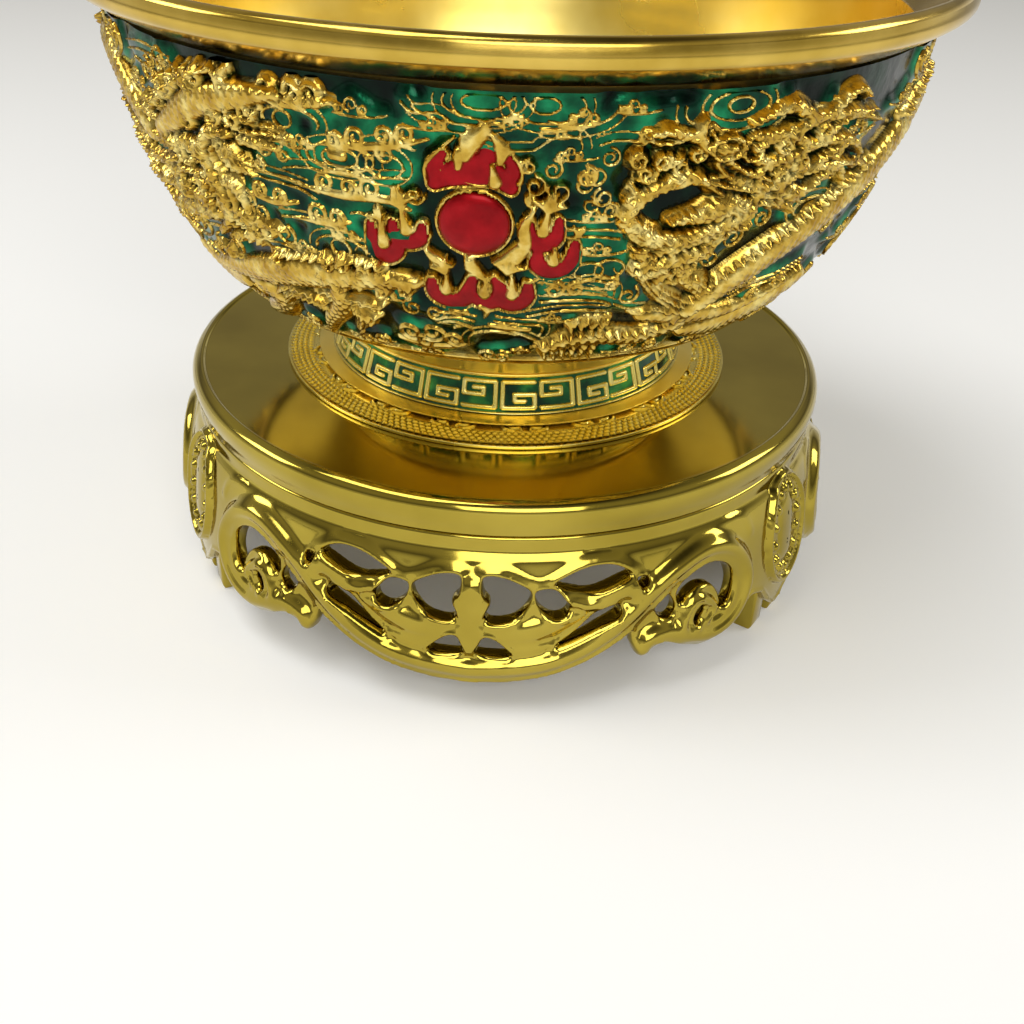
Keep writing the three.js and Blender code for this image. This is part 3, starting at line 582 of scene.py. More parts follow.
@dataclass
class Relief:
    """Heights over a grid of angles and lengths, raised by strands that join by the greater."""

    angles: np.ndarray
    lengths: np.ndarray
    radii: np.ndarray
    ground: float = -0.4
    height: np.ndarray = field(init=False)

    def __post_init__(self) -> None:
        """Start with the ground all over."""
        self.height = np.full((len(self.lengths), len(self.angles)), self.ground)

    def window(self, low: np.ndarray, high: np.ndarray) -> tuple[slice, slice]:
        """Rows and columns of the grid between two corners.

        Args:
            low: Angle and length of the lower corner.
            high: Angle and length of the upper corner.

        Returns:
            Slices of the rows and of the columns.
        """
        rows = np.searchsorted(self.lengths, (low[1], high[1]))
        columns = np.searchsorted(self.angles, (low[0], high[0]))
        return slice(*rows), slice(*columns)

    def trace(
        self, strand: Strand, spacing: float = 0.7
    ) -> tuple[tuple[slice, slice], np.ndarray, np.ndarray, np.ndarray]:
        """Share of the half-width, distance along and signed distance across, near a strand.

        At a distance d from the nearest segment, t of the way along it, the share is d over the
        half-width there, and the distance along adds t of it to the segments before.

        Args:
            strand: Strand that is traced.
            spacing: Millimetres between the points of its line.

        Returns:
            The window of the grid, and three arrays over it; the share is OUT_OF_REACH far away.
        """
        middle = float(np.mean([point[1] for point in strand.path]))
        scale = math.radians(1) * float(np.interp(middle, self.lengths, self.radii))
        line = strand.line(spacing, scale)
        reach = line[:, 2].max() + 0.3
        margin = np.array([reach / scale, reach])
        whole = self.window(line[:, :2].min(0) - margin, line[:, :2].max(0) + margin)
        shape = self.height[whole].shape
        share = np.full(shape, OUT_OF_REACH)
        along = np.zeros(shape)
        across = np.zeros(shape)
        top, left = whole[0].start, whole[1].start
        gone = 0.0
        for near, far in zip(line[:-1], line[1:]):
            ends = np.stack([near[:2], far[:2]])
            rows, columns = self.window(ends.min(0) - margin, ends.max(0) + margin)
            if rows.start >= rows.stop or columns.start >= columns.stop:
                continue
            scale = math.radians(1) * float(np.interp(ends[:, 1].mean(), self.lengths, self.radii))
            x = (self.angles[None, columns] - near[0]) * scale
            y = self.lengths[rows, None] - near[1]
            run = np.array([(far[0] - near[0]) * scale, far[1] - near[1]])
            length = max(float(np.hypot(*run)), 1e-6)
            t = np.clip((x * run[0] + y * run[1]) / length**2, 0, 1)
            off = np.hypot(x - t * run[0], y - t * run[1])
            width = np.maximum(near[2] + t * (far[2] - near[2]), 0.05)
            here = (
                slice(rows.start - top, rows.stop - top),
                slice(columns.start - left, columns.stop - left),
            )
            q = off / width
            better = q < share[here]
            side = np.sign(x * run[1] - y * run[0])
            share[here] = np.where(better, q, share[here])
            along[here] = np.where(better, gone + t * length, along[here])
            across[here] = np.where(better, side * off, across[here])
            gone += length
        return whole, share, along, across

    def raise_strand(self, strand: Strand) -> None:
        """Raise the ground by one strand, where the strand stands higher.

        At a share q of the half-width a round cut is sqrt(1 - q2), and a flat one is 1 - q6. A
        grooved cut is the round one times 0.74 + 0.26 cos(3 pi q), and a beaded one is it times
        0.55 + 0.45 |sin(pi s / 1.3)| at a distance s along. A scaled cut is 0.78 of the round one
        and 0.22 (1 - q4) of the scales. A strand slimmer than 0.5 rises less.

        Args:
            strand: Strand that is raised.
        """
        whole, share, along, across = self.trace(strand)
        q = np.minimum(share, 1)
        round_cut = np.sqrt(1 - q**2)
        slim = np.minimum(1, max(strand.widths) / 0.5)
        rise = strand.rise * (0.55 + 0.45 * slim)
        if strand.cut is Cut.GROOVED:
            round_cut = round_cut * (0.74 + 0.26 * np.cos(np.pi * 3 * q))
        elif strand.cut is Cut.BEADED:
            round_cut = round_cut * (0.55 + 0.45 * np.abs(np.sin(np.pi * along / 1.3)))
        elif strand.cut is Cut.FLAT:
            round_cut = 1 - q**6
        elif strand.cut is Cut.SCALED:
            round_cut = 0.78 * round_cut + 0.22 * self.scales(along, across) * (1 - q**4)
        raised = np.where(share < 1, rise * round_cut, self.ground)
        self.height[whole] = np.maximum(self.height[whole], raised)

    @staticmethod
    def scales(along: np.ndarray, across: np.ndarray) -> np.ndarray:
        """Overlapping round scales in staggered rows: 1 - d at a distance d from each one's root.

        Args:
            along: Distance along the strand.
            across: Signed distance across it.

        Returns:
            Height from 0 to 1.
        """
        pitch, width = 1.25, 1.45
        best = np.zeros(along.shape)
        for row in (0, 1):
            u = (along / pitch + row * 0.5) % 1
            v = (across / width + row * 0.5 + 0.5) % 1 - 0.5
            dome = 1 - np.hypot((u - 0.25) * 0.9, v * 1.5)
            best = np.maximum(best, np.where(u > 0.05, dome, 0))
        return np.clip(best, 0, 1)

    def sink(self, strand: Strand, floor: float) -> None:
        """Cut the relief down to a floor inside a strand's outline."""
        whole, share, _, _ = self.trace(strand)
        np.minimum(self.height[whole], floor, out=self.height[whole], where=share < 1)

    def hollows(self) -> np.ndarray:
        """How deep each point lies below its surroundings, as the share of painted shade there:
        3.4 (mean round it - height) + 0.04.

        Returns:
            Array from 0 to 1.
        """
        shown = np.maximum(self.height, -0.1)
        near = box_blur(box_blur(shown, 3), 2) - shown
        return np.clip(near * 3.4 + 0.04, 0, 1)


def merged(
    parts: Iterable[tuple[np.ndarray, Sequence[np.ndarray]]]
) -> tuple[np.ndarray, list[np.ndarray]]:
    """Several shapes as one: each shape's faces are moved up by the number of points before.

    Args:
        parts: Points and face arrays of each shape.

    Returns:
        Points, and a list of face arrays.
    """
    points, faces, count = [], [], 0
    for shape, arrays in parts:
        points.append(shape)
        faces.extend(array + count for array in arrays)
        count += len(shape)
    return np.concatenate(points), faces


def turned(points: np.ndarray, angle: float) -> np.ndarray:
    """Points turned round +Z by an angle in degrees."""
    c, s = math.cos(math.radians(angle)), math.sin(math.radians(angle))
    return points @ np.array([[c, s, 0], [-s, c, 0], [0, 0, 1]])


def slab(
    outline: np.ndarray, start: float, end: float, ease: float
) -> tuple[np.ndarray, list[np.ndarray]]:
    """Plate with rounded rims: m + (p - m)(1 - e (1 - sin t) / s) at e (1 - cos t) from a face.

    Args:
        outline: Points p in the plane of the plate, anticlockwise, with a mean m and mean reach s.
        start: Lower face along the third axis.
        end: Upper face.
        ease: Radius e of the rims.

    Returns:
        Points as (across, along, up) and faces.
    """
    middle = outline.mean(0)
    size = np.linalg.norm(outline - middle, axis=1).mean()
    turn = np.radians(np.linspace(0, 90, 4))
    inset = ease / size * (1 - np.sin(turn))
    level = ease * (1 - np.cos(turn))
    insets = np.concatenate([inset, inset[::-1]])
    levels = np.concatenate([start + level, end - level[::-1]])
    rings = middle + (outline - middle)[None] * (1 - insets[:, None, None])
    height = np.broadcast_to(levels[:, None, None], (*rings.shape[:2], 1))
    points = np.concatenate([rings, height], axis=2).reshape(-1, 3)
    count = len(outline)
    quads = grid_faces(len(levels), count, wraps=True)[:, ::-1]
    caps = np.array([[*middle, start], [*middle, end]])
    first = np.arange(count)
    last = len(points) - count + first
    low = np.stack([np.full(count, len(points)), np.roll(first, -1), first], axis=-1)
    high = np.stack([np.full(count, len(points) + 1), last, np.roll(last, -1)], axis=-1)
    return np.concatenate([points, caps]), [quads, np.concatenate([low, high])]


def beside(path: Sequence, offset: float, mm_per_degree: float, count: int = 40) -> np.ndarray:
    """Path moved sideways in millimetres: p + offset (-dy, dx) / |d|, where d is its run.

    Args:
        path: Points of (angle, length).
        offset: Millimetres to the left of the path.
        mm_per_degree: Millimetres in a degree round the axis.
        count: How many points are wanted.

    Returns:
        Array of angle and length.
    """
    curve = curve_through(path, count) * [mm_per_degree, 1]
    run = np.gradient(curve, axis=0)
    run /= np.linalg.norm(run, axis=1, keepdims=True)
    return (curve + offset * np.column_stack([-run[:, 1], run[:, 0]])) / [mm_per_degree, 1]


def distance_to(points: np.ndarray, line: np.ndarray) -> np.ndarray:
    """Distance from points to a row of segments: |p - a - t (b - a)| with t held from 0 to 1.

    Args:
        points: Points in a plane.
        line: Ends of the segments in order.

    Returns:
        Array of the least distances.
    """
    near, run = line[:-1], np.diff(line, axis=0)
    squared = np.maximum((run**2).sum(1), 1e-12)
    away = points[:, None] - near
    t = np.clip((away * run).sum(2) / squared, 0, 1)
    return np.linalg.norm(away - t[..., None] * run, axis=2).min(1)


def is_inside(points: np.ndarray, outline: np.ndarray) -> np.ndarray:
    """Whether points lie inside a closed outline: the edges to their right are odd in number.

    Args:
        points: Points in a plane.
        outline: Corners in order; the last one joins the first.

    Returns:
        Array of booleans.
    """
    a, b = outline, np.roll(outline, -1, axis=0)
    x, y = points[:, :1], points[:, 1:]
    spans = (a[:, 1] > y) != (b[:, 1] > y)
    rise = np.where(a[:, 1] == b[:, 1], 1e-9, b[:, 1] - a[:, 1])
    crossing = a[:, 0] + (y - a[:, 1]) * (b[:, 0] - a[:, 0]) / rise
    return (spans & (x < crossing)).sum(1) % 2 == 1


# Stand


@dataclass
class Stand:
    """Three-legged stand: a pierced skirt of three like panels, a cover, and its screws."""

    seam_height: float = 29.2
    middle_radius: float = 56.0
    shield_height: float = 18.3
    shield_beads: int = 14
    lip_inset: float = 0.45
    lip_width: float = 0.34
    lip_rise: float = 0.4
    toe_radius: float = 1.8
    toe_offset: float = 3.5
    toe_height: float = 7.7
    screw_radius: float = 43.0
    ear_radius: float = 3.4
    softness: float = 0.22
    wall: float = 2.0
    panel_cells: int = 348
    cell: float = 0.33
    profile: tuple = (
        (55.7, 0), (55.9, 3.2), (56.2, 10), (55.7, 16), (54.9, 21.7), (54.0, 25), (53.3, 26.3),
        (53.0, 26.7), (53.0, 29.2),
    )
    edge: tuple = (
        (0, 5.2), (6, 5.3), (12, 6.6), (18, 9.2), (23, 12), (24.7, 13.1), (25.1, 10.4), (26, 8.3),
        (27.2, 7.6), (28.4, 8.8), (29.6, 10.2), (31.6, 9.4), (34.4, 7.5), (37.6, 6.1), (41, 6),
        (44.6, 7.2), (47.6, 9.6), (50, 10.4), (53, 9.4), (56, 6), (58.4, 4), (60, 3.4),
    )
    holes: tuple = (
        ((8.7, 21.2), (5.2, 23), (2, 23.2), (1.9, 20.8), (3, 19.2), (2.2, 17.3), (3.2, 16.3),
         (6.4, 16.8), (8.6, 19)),
        ((14.6, 19.2), (12.6, 21.2), (9.9, 21.1), (10.2, 18.8), (12.4, 17.1), (14.3, 17.5)),
        ((2.5, 13.9), (1.5, 12.3), (1, 10.9), (3.2, 10.5), (6.2, 10.8), (4.4, 12.9)),
        ((13, 12), (16.4, 13.4), (19.4, 14.9), (22.4, 16.4), (22.6, 17.8), (20.6, 18.2),
         (18.4, 16.6), (16, 14.4)),
        ((12.6, 22.4), (17, 24.2), (21.4, 24.3), (24.4, 22.7), (22.5, 21.9), (18.6, 20.8),
         (15.6, 21.2)),
        ((28.9, 16.4), (30.7, 17.8), (32.4, 15.4), (31.6, 13.7), (29.7, 14.3)),
        ((32.7, 17.4), (34.2, 19.6), (36.6, 20.9), (39.6, 20.7), (42.6, 19), (44.1, 15.6),
         (43.2, 12.4), (41.5, 12.1), (41.3, 14.5), (39.6, 16.8), (37, 17.5), (34.9, 16.7),
         (33.4, 15.4)),
        ((25.6, 21.7), (27.3, 21.4), (26.6, 20.1)),
        ((35.9, 12), (36.6, 13.8), (37.9, 13.6), (37.4, 11.9), (36.6, 10.9)),
    )
    scroll: tuple = (
        (0, 7.5), (12, 9), (21.5, 13.7), (30, 20.3), (37.5, 23.2), (43.4, 21.6), (46.9, 15.8),
        (44, 9.8), (38.4, 8.6), (34.2, 11.5), (36.3, 15.4), (39.5, 13), (38, 11.2),
    )
    scroll_widths: tuple = (2.3, 2.2, 2.1, 2, 2, 1.9, 1.8, 1.8, 1.8, 1.4, 1.1, 0.8, 0.6)
    mouldings: tuple = (
        (1.7, (1.5, 1.7, 1.7, 1.6, 1.1),
         ((39, 8.2), (34, 10), (30.5, 11.6), (27.6, 11), (26.9, 9.4))),
        (1.3, (0.8, 1.3, 1.6, 1.5, 1.1, 0.7),
         ((26.2, 17.2), (25.4, 19), (24, 20.6), (20.5, 19.6), (17.5, 18.9), (14, 20.4))),
        (0.6, (0.35, 0.4, 0.45, 0.4),
         ((0.6, 24.1), (5, 24.4), (9.4, 22.6), (12, 23), (17, 25.2), (22, 25.2), (26.2, 22.6))),
        (0.9, (1.1, 1.9, 2, 1.6, 0.6), ((0.8, 15), (5, 14.6), (9, 14.8), (13.5, 16.4), (17, 17.4))),
        (0.7, (0.9, 1.3, 0.5), ((3.4, 12.6), (8, 11.6), (12, 12.4))),
        (1.1, (1.2, 2.5, 1.5, 1.7, 0.4), ((0, 22.4), (0, 19.4), (0, 16.5), (0, 13.6), (0, 10.8))),
        (0.4, (0.3, 0.4, 0.3), ((48.9, 22), (47.6, 25), (43, 26))),
    )

    @property
    def mm_per_degree(self) -> float:
        """Millimetres in a degree round the skirt."""
        return math.radians(1) * self.middle_radius

    def radius_at(self, height: np.ndarray) -> np.ndarray:
        """Radius of the plain skirt at a height, along its profile."""
        stations = curve_through(self.profile, 100)
        return np.interp(height, np.maximum.accumulate(stations[:, 1]), stations[:, 0])

    def openwork(self, angles: np.ndarray, heights: np.ndarray) -> np.ndarray:
        """Distance inside the skirt's outline, negative in an opening or below the apron.

        It is the least of the distances to the apron's edge, the openings' and the seam.

        Args:
            angles: Degrees from the middle of a panel, any sign.
            heights: Millimetres above the ground.

        Returns:
            Array of heights by angles, in millimetres.
        """
        scale = self.mm_per_degree
        x, y = np.meshgrid(np.abs((angles + 60) % 120 - 60) * scale, heights)
        points = np.column_stack([x.ravel(), y.ravel()])
        edge = np.array(self.edge) * [scale, 1]
        wide = np.concatenate([edge[:1] * [-1, 1] + [-4, 0], edge, edge[-1:] + [4, 0]])
        above = points[:, 1] > np.interp(points[:, 0], edge[:, 0], edge[:, 1])
        inside = distance_to(points, wide) * np.where(above, 1, -1)
        for hole in self.holes:
            outline = curve_through(np.array(hole) * [scale, 1], 7 * len(hole), closed=True)
            closed = np.concatenate([outline, outline[:1]])
            gap = distance_to(points, closed) * np.where(is_inside(points, outline), -1, 1)
            inside = np.minimum(inside, gap)
        return np.minimum(inside.reshape(x.shape), self.seam_height - y)

    def dress(self, angles: np.ndarray, heights: np.ndarray, inside: np.ndarray) -> np.ndarray:
        """How far the mouldings, the bat and the shields stand off the skirt.

        The strands of half a panel are raised on both sides of its middle m, p = (m + or - a, h).
        A lip of h exp(-((d - i) / w)2) runs round the openings, d inside their edge.

        Args:
            angles: Degrees round the skirt.
            heights: Millimetres above the ground.
            inside: Distance inside the outline, heights by angles.

        Returns:
            Millimetres off the plain skirt, heights by angles.
        """
        relief = Relief(angles, heights, np.full(len(heights), self.middle_radius), ground=0.0)
        scale = self.mm_per_degree
        outer = beside(self.scroll, 0.45, scale, 60)
        inner = beside(self.scroll, -1.45, scale, 60)
        half = [
            Strand(outer, np.array(self.scroll_widths) * 0.76, 1.6),
            Strand(inner, np.array(self.scroll_widths) * 0.36, 0.95),
            *(Strand(path, widths, rise) for rise, widths, path in self.mouldings),
        ]
        for middle in (-120, 0, 120):
            for flip in (-1, 1):
                for strand in half:
                    path = np.asarray(strand.path, float) * [flip, 1] + [middle, 0]
                    relief.raise_strand(Strand(path, strand.widths, strand.rise))
        relief.height = box_blur(box_blur(relief.height, 1), 1)
        lip = self.lip_rise * np.exp(-(((inside - self.lip_inset) / self.lip_width) ** 2))
        relief.height = relief.height + np.where(heights[:, None] < 25.5, lip, 0)
        for leg in (-180, -60, 60, 180):
            for across, along, width, rise in ((6.2, 9.4, 0.6, 1.1), (5.2, 8.3, 0.35, 0.7)):
                relief.raise_strand(self.oval(leg, across, along, width, rise))
            bearing = np.radians(np.arange(self.shield_beads) * 360 / self.shield_beads)
            for x, y in zip(4.1 * np.sin(bearing) / scale, 7.1 * np.cos(bearing)):
                height = self.shield_height + y
                bead = ((leg + x, height), (leg + x + 0.05, height))
                relief.raise_strand(Strand(bead, (0.85, 0.85), 0.95))
            relief.raise_strand(Strand(((leg, 15), (leg, 21.6)), (2.6, 2.6), 0.5))
        return relief.height

    def oval(self, angle: float, across: float, along: float, width: float, rise: float) -> Strand:
        """Oval line round the middle of a leg's shield: p = m + (a sin t, b cos t).

        Args:
            angle: Degrees of the leg.
            across: Half of its width in millimetres.
            along: Half of its height.
            width: Half-width of the line.
            rise: Height of the line.

        Returns:
            The strand.
        """
        turn = np.radians(np.linspace(0, 360, 37))
        x = angle + across * np.sin(turn) / self.mm_per_degree
        y = self.shield_height + along * np.cos(turn)
        return Strand(np.column_stack([x, y]), (width, width), rise)

    def panel(self) -> tuple[np.ndarray, np.ndarray, np.ndarray, np.ndarray]:
        """One panel as the zero level of the smooth least of E, L - d and d + wall.

        E is the distance inside the outline, L the lift of the dress and d the distance off the
        plain skirt. The smooth least is -k ln(sum exp(-f / k)).

        Returns:
            Points, normals, painted shade (none here) and quads.
        """
        step = 120 / self.panel_cells
        margin = 8
        angles = np.arange(-margin, self.panel_cells + margin + 1) * step - 60
        heights = np.arange(-0.5, 30.2, self.cell)
        depths = np.arange(-self.wall - 0.6, 2.7, self.cell)
        inside = self.openwork(angles, heights)
        lift = self.dress(angles, heights, inside)
        d = depths[None, None, :]
        k = self.softness
        inside, lift = inside[..., None], lift[..., None]
        terms = [inside + 0 * d, lift - d, d + self.wall + 0 * lift]
        values = -k * np.log(sum(np.exp(-np.clip(term, -6, 6) / k) for term in terms))
        values = values.transpose(1, 0, 2)
        values[:, 0] = values[:, -1] = -1
        steps, quads = level_surface(values)
        steps = smoothed(steps, quads, 3)
        angle = angles[0] + steps[:, 0] * step
        height = heights[0] + steps[:, 1] * self.cell
        depth = depths[0] + steps[:, 2] * self.cell
        points = polar(angle, self.radius_at(height) + depth, np.maximum(height, 0))
        normals = vertex_normals(points, quads)
        middle = steps[quads, 0].mean(1)
        keep = quads[(middle >= margin) & (middle < self.panel_cells + margin)]
        return patch(points, normals, np.zeros(len(points)), keep)

    def toes(self) -> tuple[np.ndarray, list[np.ndarray]]:
        """Two upright blocks with round tops and an ear for the cover's screw, at the leg at 0.

        A block is a slab whose outline ends in the arch (r cos t, h + r sin t), and so is the ear.

        Returns:
            Points, and a list of face arrays.
        """
        turn = np.radians(np.linspace(0, 180, 17))
        r = self.toe_radius
        arch = np.column_stack([r * np.cos(turn), self.toe_height + r * np.sin(turn)])
        base = [[-r, 0.1], [0, 0.1], [r, 0.1], [r, 3.8]]
        outline = np.concatenate([base, arch, [[-r, 3.8]]])
        block, faces = slab(outline, 0.2, 4.6, 0.5)
        parts = []
        for offset in (-self.toe_offset, self.toe_offset):
            spot = np.column_stack([block[:, 0] + offset, block[:, 2] - 54.9, block[:, 1]])
            parts.append((spot, [array[:, ::-1] for array in faces]))
        turn = np.radians(np.linspace(0, 180, 13))
        r = self.ear_radius
        nose = np.column_stack([r * np.cos(turn), -self.screw_radius + r * np.sin(turn)])
        ear = np.concatenate([[[-5.4, -54.4], [5.4, -54.4]], nose])
        parts.append(slab(ear, 22, 24.4, 0.3))
        return merged(parts)

    def cover(self) -> tuple[np.ndarray, list[np.ndarray]]:
        """Plate inside a low rim, a round shoulder, a spigot and three posts, all turned profiles.

        Returns:
            Points, and a list of face arrays.
        """
        shoulder = (
            (52.1, 35), (53, 34.5), (53.55, 33.75), (53.7, 32.8), (53.55, 31.6), (53.25, 30.4),
            (53.1, 29.55),
        )
        top = ((0, 34.5), (51.45, 34.5), (51.75, 34.95), (52.1, 35))
        inner = (
            (53.1, 29.55), (52.9, 29.45), (50.7, 29.45), (50.7, 26.2), (49.5, 26.2), (48.9, 33.2),
            (0, 33.2),
        )
        profile = np.concatenate([
            eased(top, 0.16, closed=False), curve_through(shoulder, 26)[1:-1],
            eased(inner, 0.12, closed=False),
        ])
        parts = [lathe(profile)]
        post = ((0, 33.4), (3.4, 33.4), (3.4, 24.7), (1.6, 24.7), (1.6, 33.3), (0, 33.3))
        points, faces = lathe(eased(post, 0.2, closed=False), 40)
        for leg in (60, 180, 300):
            parts.append((points + polar(leg, self.screw_radius, 0.0), faces))
        return merged(parts)

    def build(self) -> None:
        """Make the skirt's panels, the toes and the cover, and dress the screws."""
        points, normals, painted_shade, quads = self.panel()
        toes, toe_faces = self.toes()
        look = (MIRROR_PLATING, "stand", "plated_stand")
        for number in range(3):
            angle = 120.0 * number
            make_piece(
                f"skirt_panel_{number + 1}", turned(points, angle), [quads], *look,
                ["stand_skirt"], turned(normals, angle), painted_shade, sharp=None,
            )
            make_piece(f"leg_toes_{number + 1}", turned(toes, angle + 60), toe_faces, *look)
        points, faces = self.cover()
        make_piece("cover_plate", points, faces, *look, ["stand_cover"])
        for number in range(3):
            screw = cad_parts[f"cover_screw_{number + 1}"]
            screw.data.materials.clear()
            screw.data.materials.append(ZINC_STEEL.material())


# Saucer


@dataclass
class Saucer:
    """Thin stamped disc with a border of beads and a ring of scrolls."""

    radius: float = 37.6
    base: float = 34.54
    top: float = 35.1
    face_from: float = 27.5
    first_row: float = 33.9
    row_pitch: float = 0.86
    bead_pitch: float = 1.1
    bead_radius: float = 0.52
    bead_rise: float = 0.4
    scrolls: int = 18
    scroll_radius: float = 31.2
    scroll_reach: float = 1.9
    edge_radius: float = 33.3
    rim_radius: float = 37.15

    def embossing(self) -> Relief:
        """Beads in staggered rows, round domes h sqrt(1 - (d / r)2), and scrolls inside them.

        A scroll is the spiral m + r (1 - t / 12.5)(sin t, cos t). The rim is a ridge
        of 0.35 exp(-((r - R) / 0.2)2) at a radius R.

        Returns:
            Relief over angles and radii.
        """
        radii = np.arange(self.face_from, self.radius - 0.2, 0.18)
        angles = np.linspace(-180, 180, 1240, endpoint=False)
        relief = Relief(angles, radii, radii, ground=0.0)
        count = round(2 * math.pi * 35.4 / self.bead_pitch)
        row = (radii[:, None] - self.first_row) / self.row_pitch
        nearest = np.round(row)
        column = angles[None] / 360 * count + (nearest % 2) * 0.5
        across = (column - np.round(column)) * self.bead_pitch
        d = np.hypot((row - nearest) * self.row_pitch, across) / self.bead_radius
        beads = self.bead_rise * np.sqrt(np.clip(1 - d**2, 0, 1))
        relief.height = np.where((row > -0.5) & (row < 3.5), beads, 0)
        for number in range(self.scrolls):
            middle = number * 360 / self.scrolls - 170
            for flip in (-1, 1):
                turn = np.linspace(0, 3.2 * math.pi, 26)
                reach = self.scroll_reach * (1 - turn / 12.5)
                x = middle + flip * (3.4 + 1.7 * reach * np.sin(turn))
                scroll = np.column_stack([x, self.scroll_radius + reach * np.cos(turn)])
                relief.raise_strand(Strand(scroll, (0.45, 0.35, 0.3), 0.42))
                leaf = ((middle, 29.4), (middle + flip * 1.6, 30.6), (middle + flip * 1.2, 32.8))
                relief.raise_strand(Strand(leaf, (0.3, 0.6, 0.2), 0.4))
        edge = [(angle, self.edge_radius) for angle in (-180, 0, 180)]
        relief.raise_strand(Strand(edge, (0.22, 0.22), 0.3, curved=False))
        rim = 0.35 * np.exp(-(((radii - self.rim_radius) / 0.2) ** 2))
        relief.height = np.maximum(relief.height, rim[:, None])
        return relief

    def build(self) -> None:
        """Make the disc and its embossed face."""
        relief = self.embossing()
        radius, top, base = self.radius, self.top, self.base
        profile = ((0, top), (radius, top), (radius, base), (0, base))
        disc, disc_faces = lathe(eased(profile, 0.14, closed=False))
        height = top - 0.04 + relief.height
        face = polar(relief.angles[None], relief.radii[:, None], height).reshape(-1, 3)
        quads = grid_faces(*relief.height.shape, wraps=True)[:, ::-1]
        # Painted shade in the hollows of the embossing
        painted_shade = relief.hollows().ravel()
        look = (STAMPED_GILDING, "saucer", "gilt_saucer")
        make_piece("saucer_disc", disc, disc_faces, *look, ["saucer"], painted_shade=np.zeros(len(disc)))
        make_piece("saucer_embossing", face, [quads], *look, painted_shade=painted_shade, sharp=None)


# Bowl


@dataclass
class Wall:
    """Profile of the bowl's wall, by the length up it from the foot."""

    stations: tuple = (
        (28.9, 42.8), (35, 47.8), (42.5, 52), (49.6, 60), (55, 71), (57.6, 81), (59, 91.8)
    )

    def __post_init__(self) -> None:
        """Measure the curve once."""
        self.curve = curve_through(self.stations, 361)
        self.reach = np.concatenate([[0], np.cumsum(np.hypot(*np.diff(self.curve, axis=0).T))])

    def at(self, length: np.ndarray, lift: np.ndarray = 0.0) -> tuple[np.ndarray, np.ndarray]:
        """Radius and height at lengths up the wall, moved off it along its normal.

        Args:
            length: Millimetres up the wall.
            lift: Millimetres outwards.

        Returns:
            Radius and height arrays.
        """
        radius = np.interp(length, self.reach, self.curve[:, 0])
        height = np.interp(length, self.reach, self.curve[:, 1])
        step = 0.6
        before, after = length - step, length + step
        run_r, run_h = (
            np.interp(after, self.reach, values) - np.interp(before, self.reach, values)
            for values in self.curve.T
        )
        size = np.hypot(run_r, run_h)
        return radius + lift * run_h / size, height - lift * run_r / size

    def stretch(self, low: float, high: float, lift: float, count: int = 60) -> np.ndarray:
        """Profile between two lengths, at one lift."""
        return np.column_stack(self.at(np.linspace(low, high, count), lift))


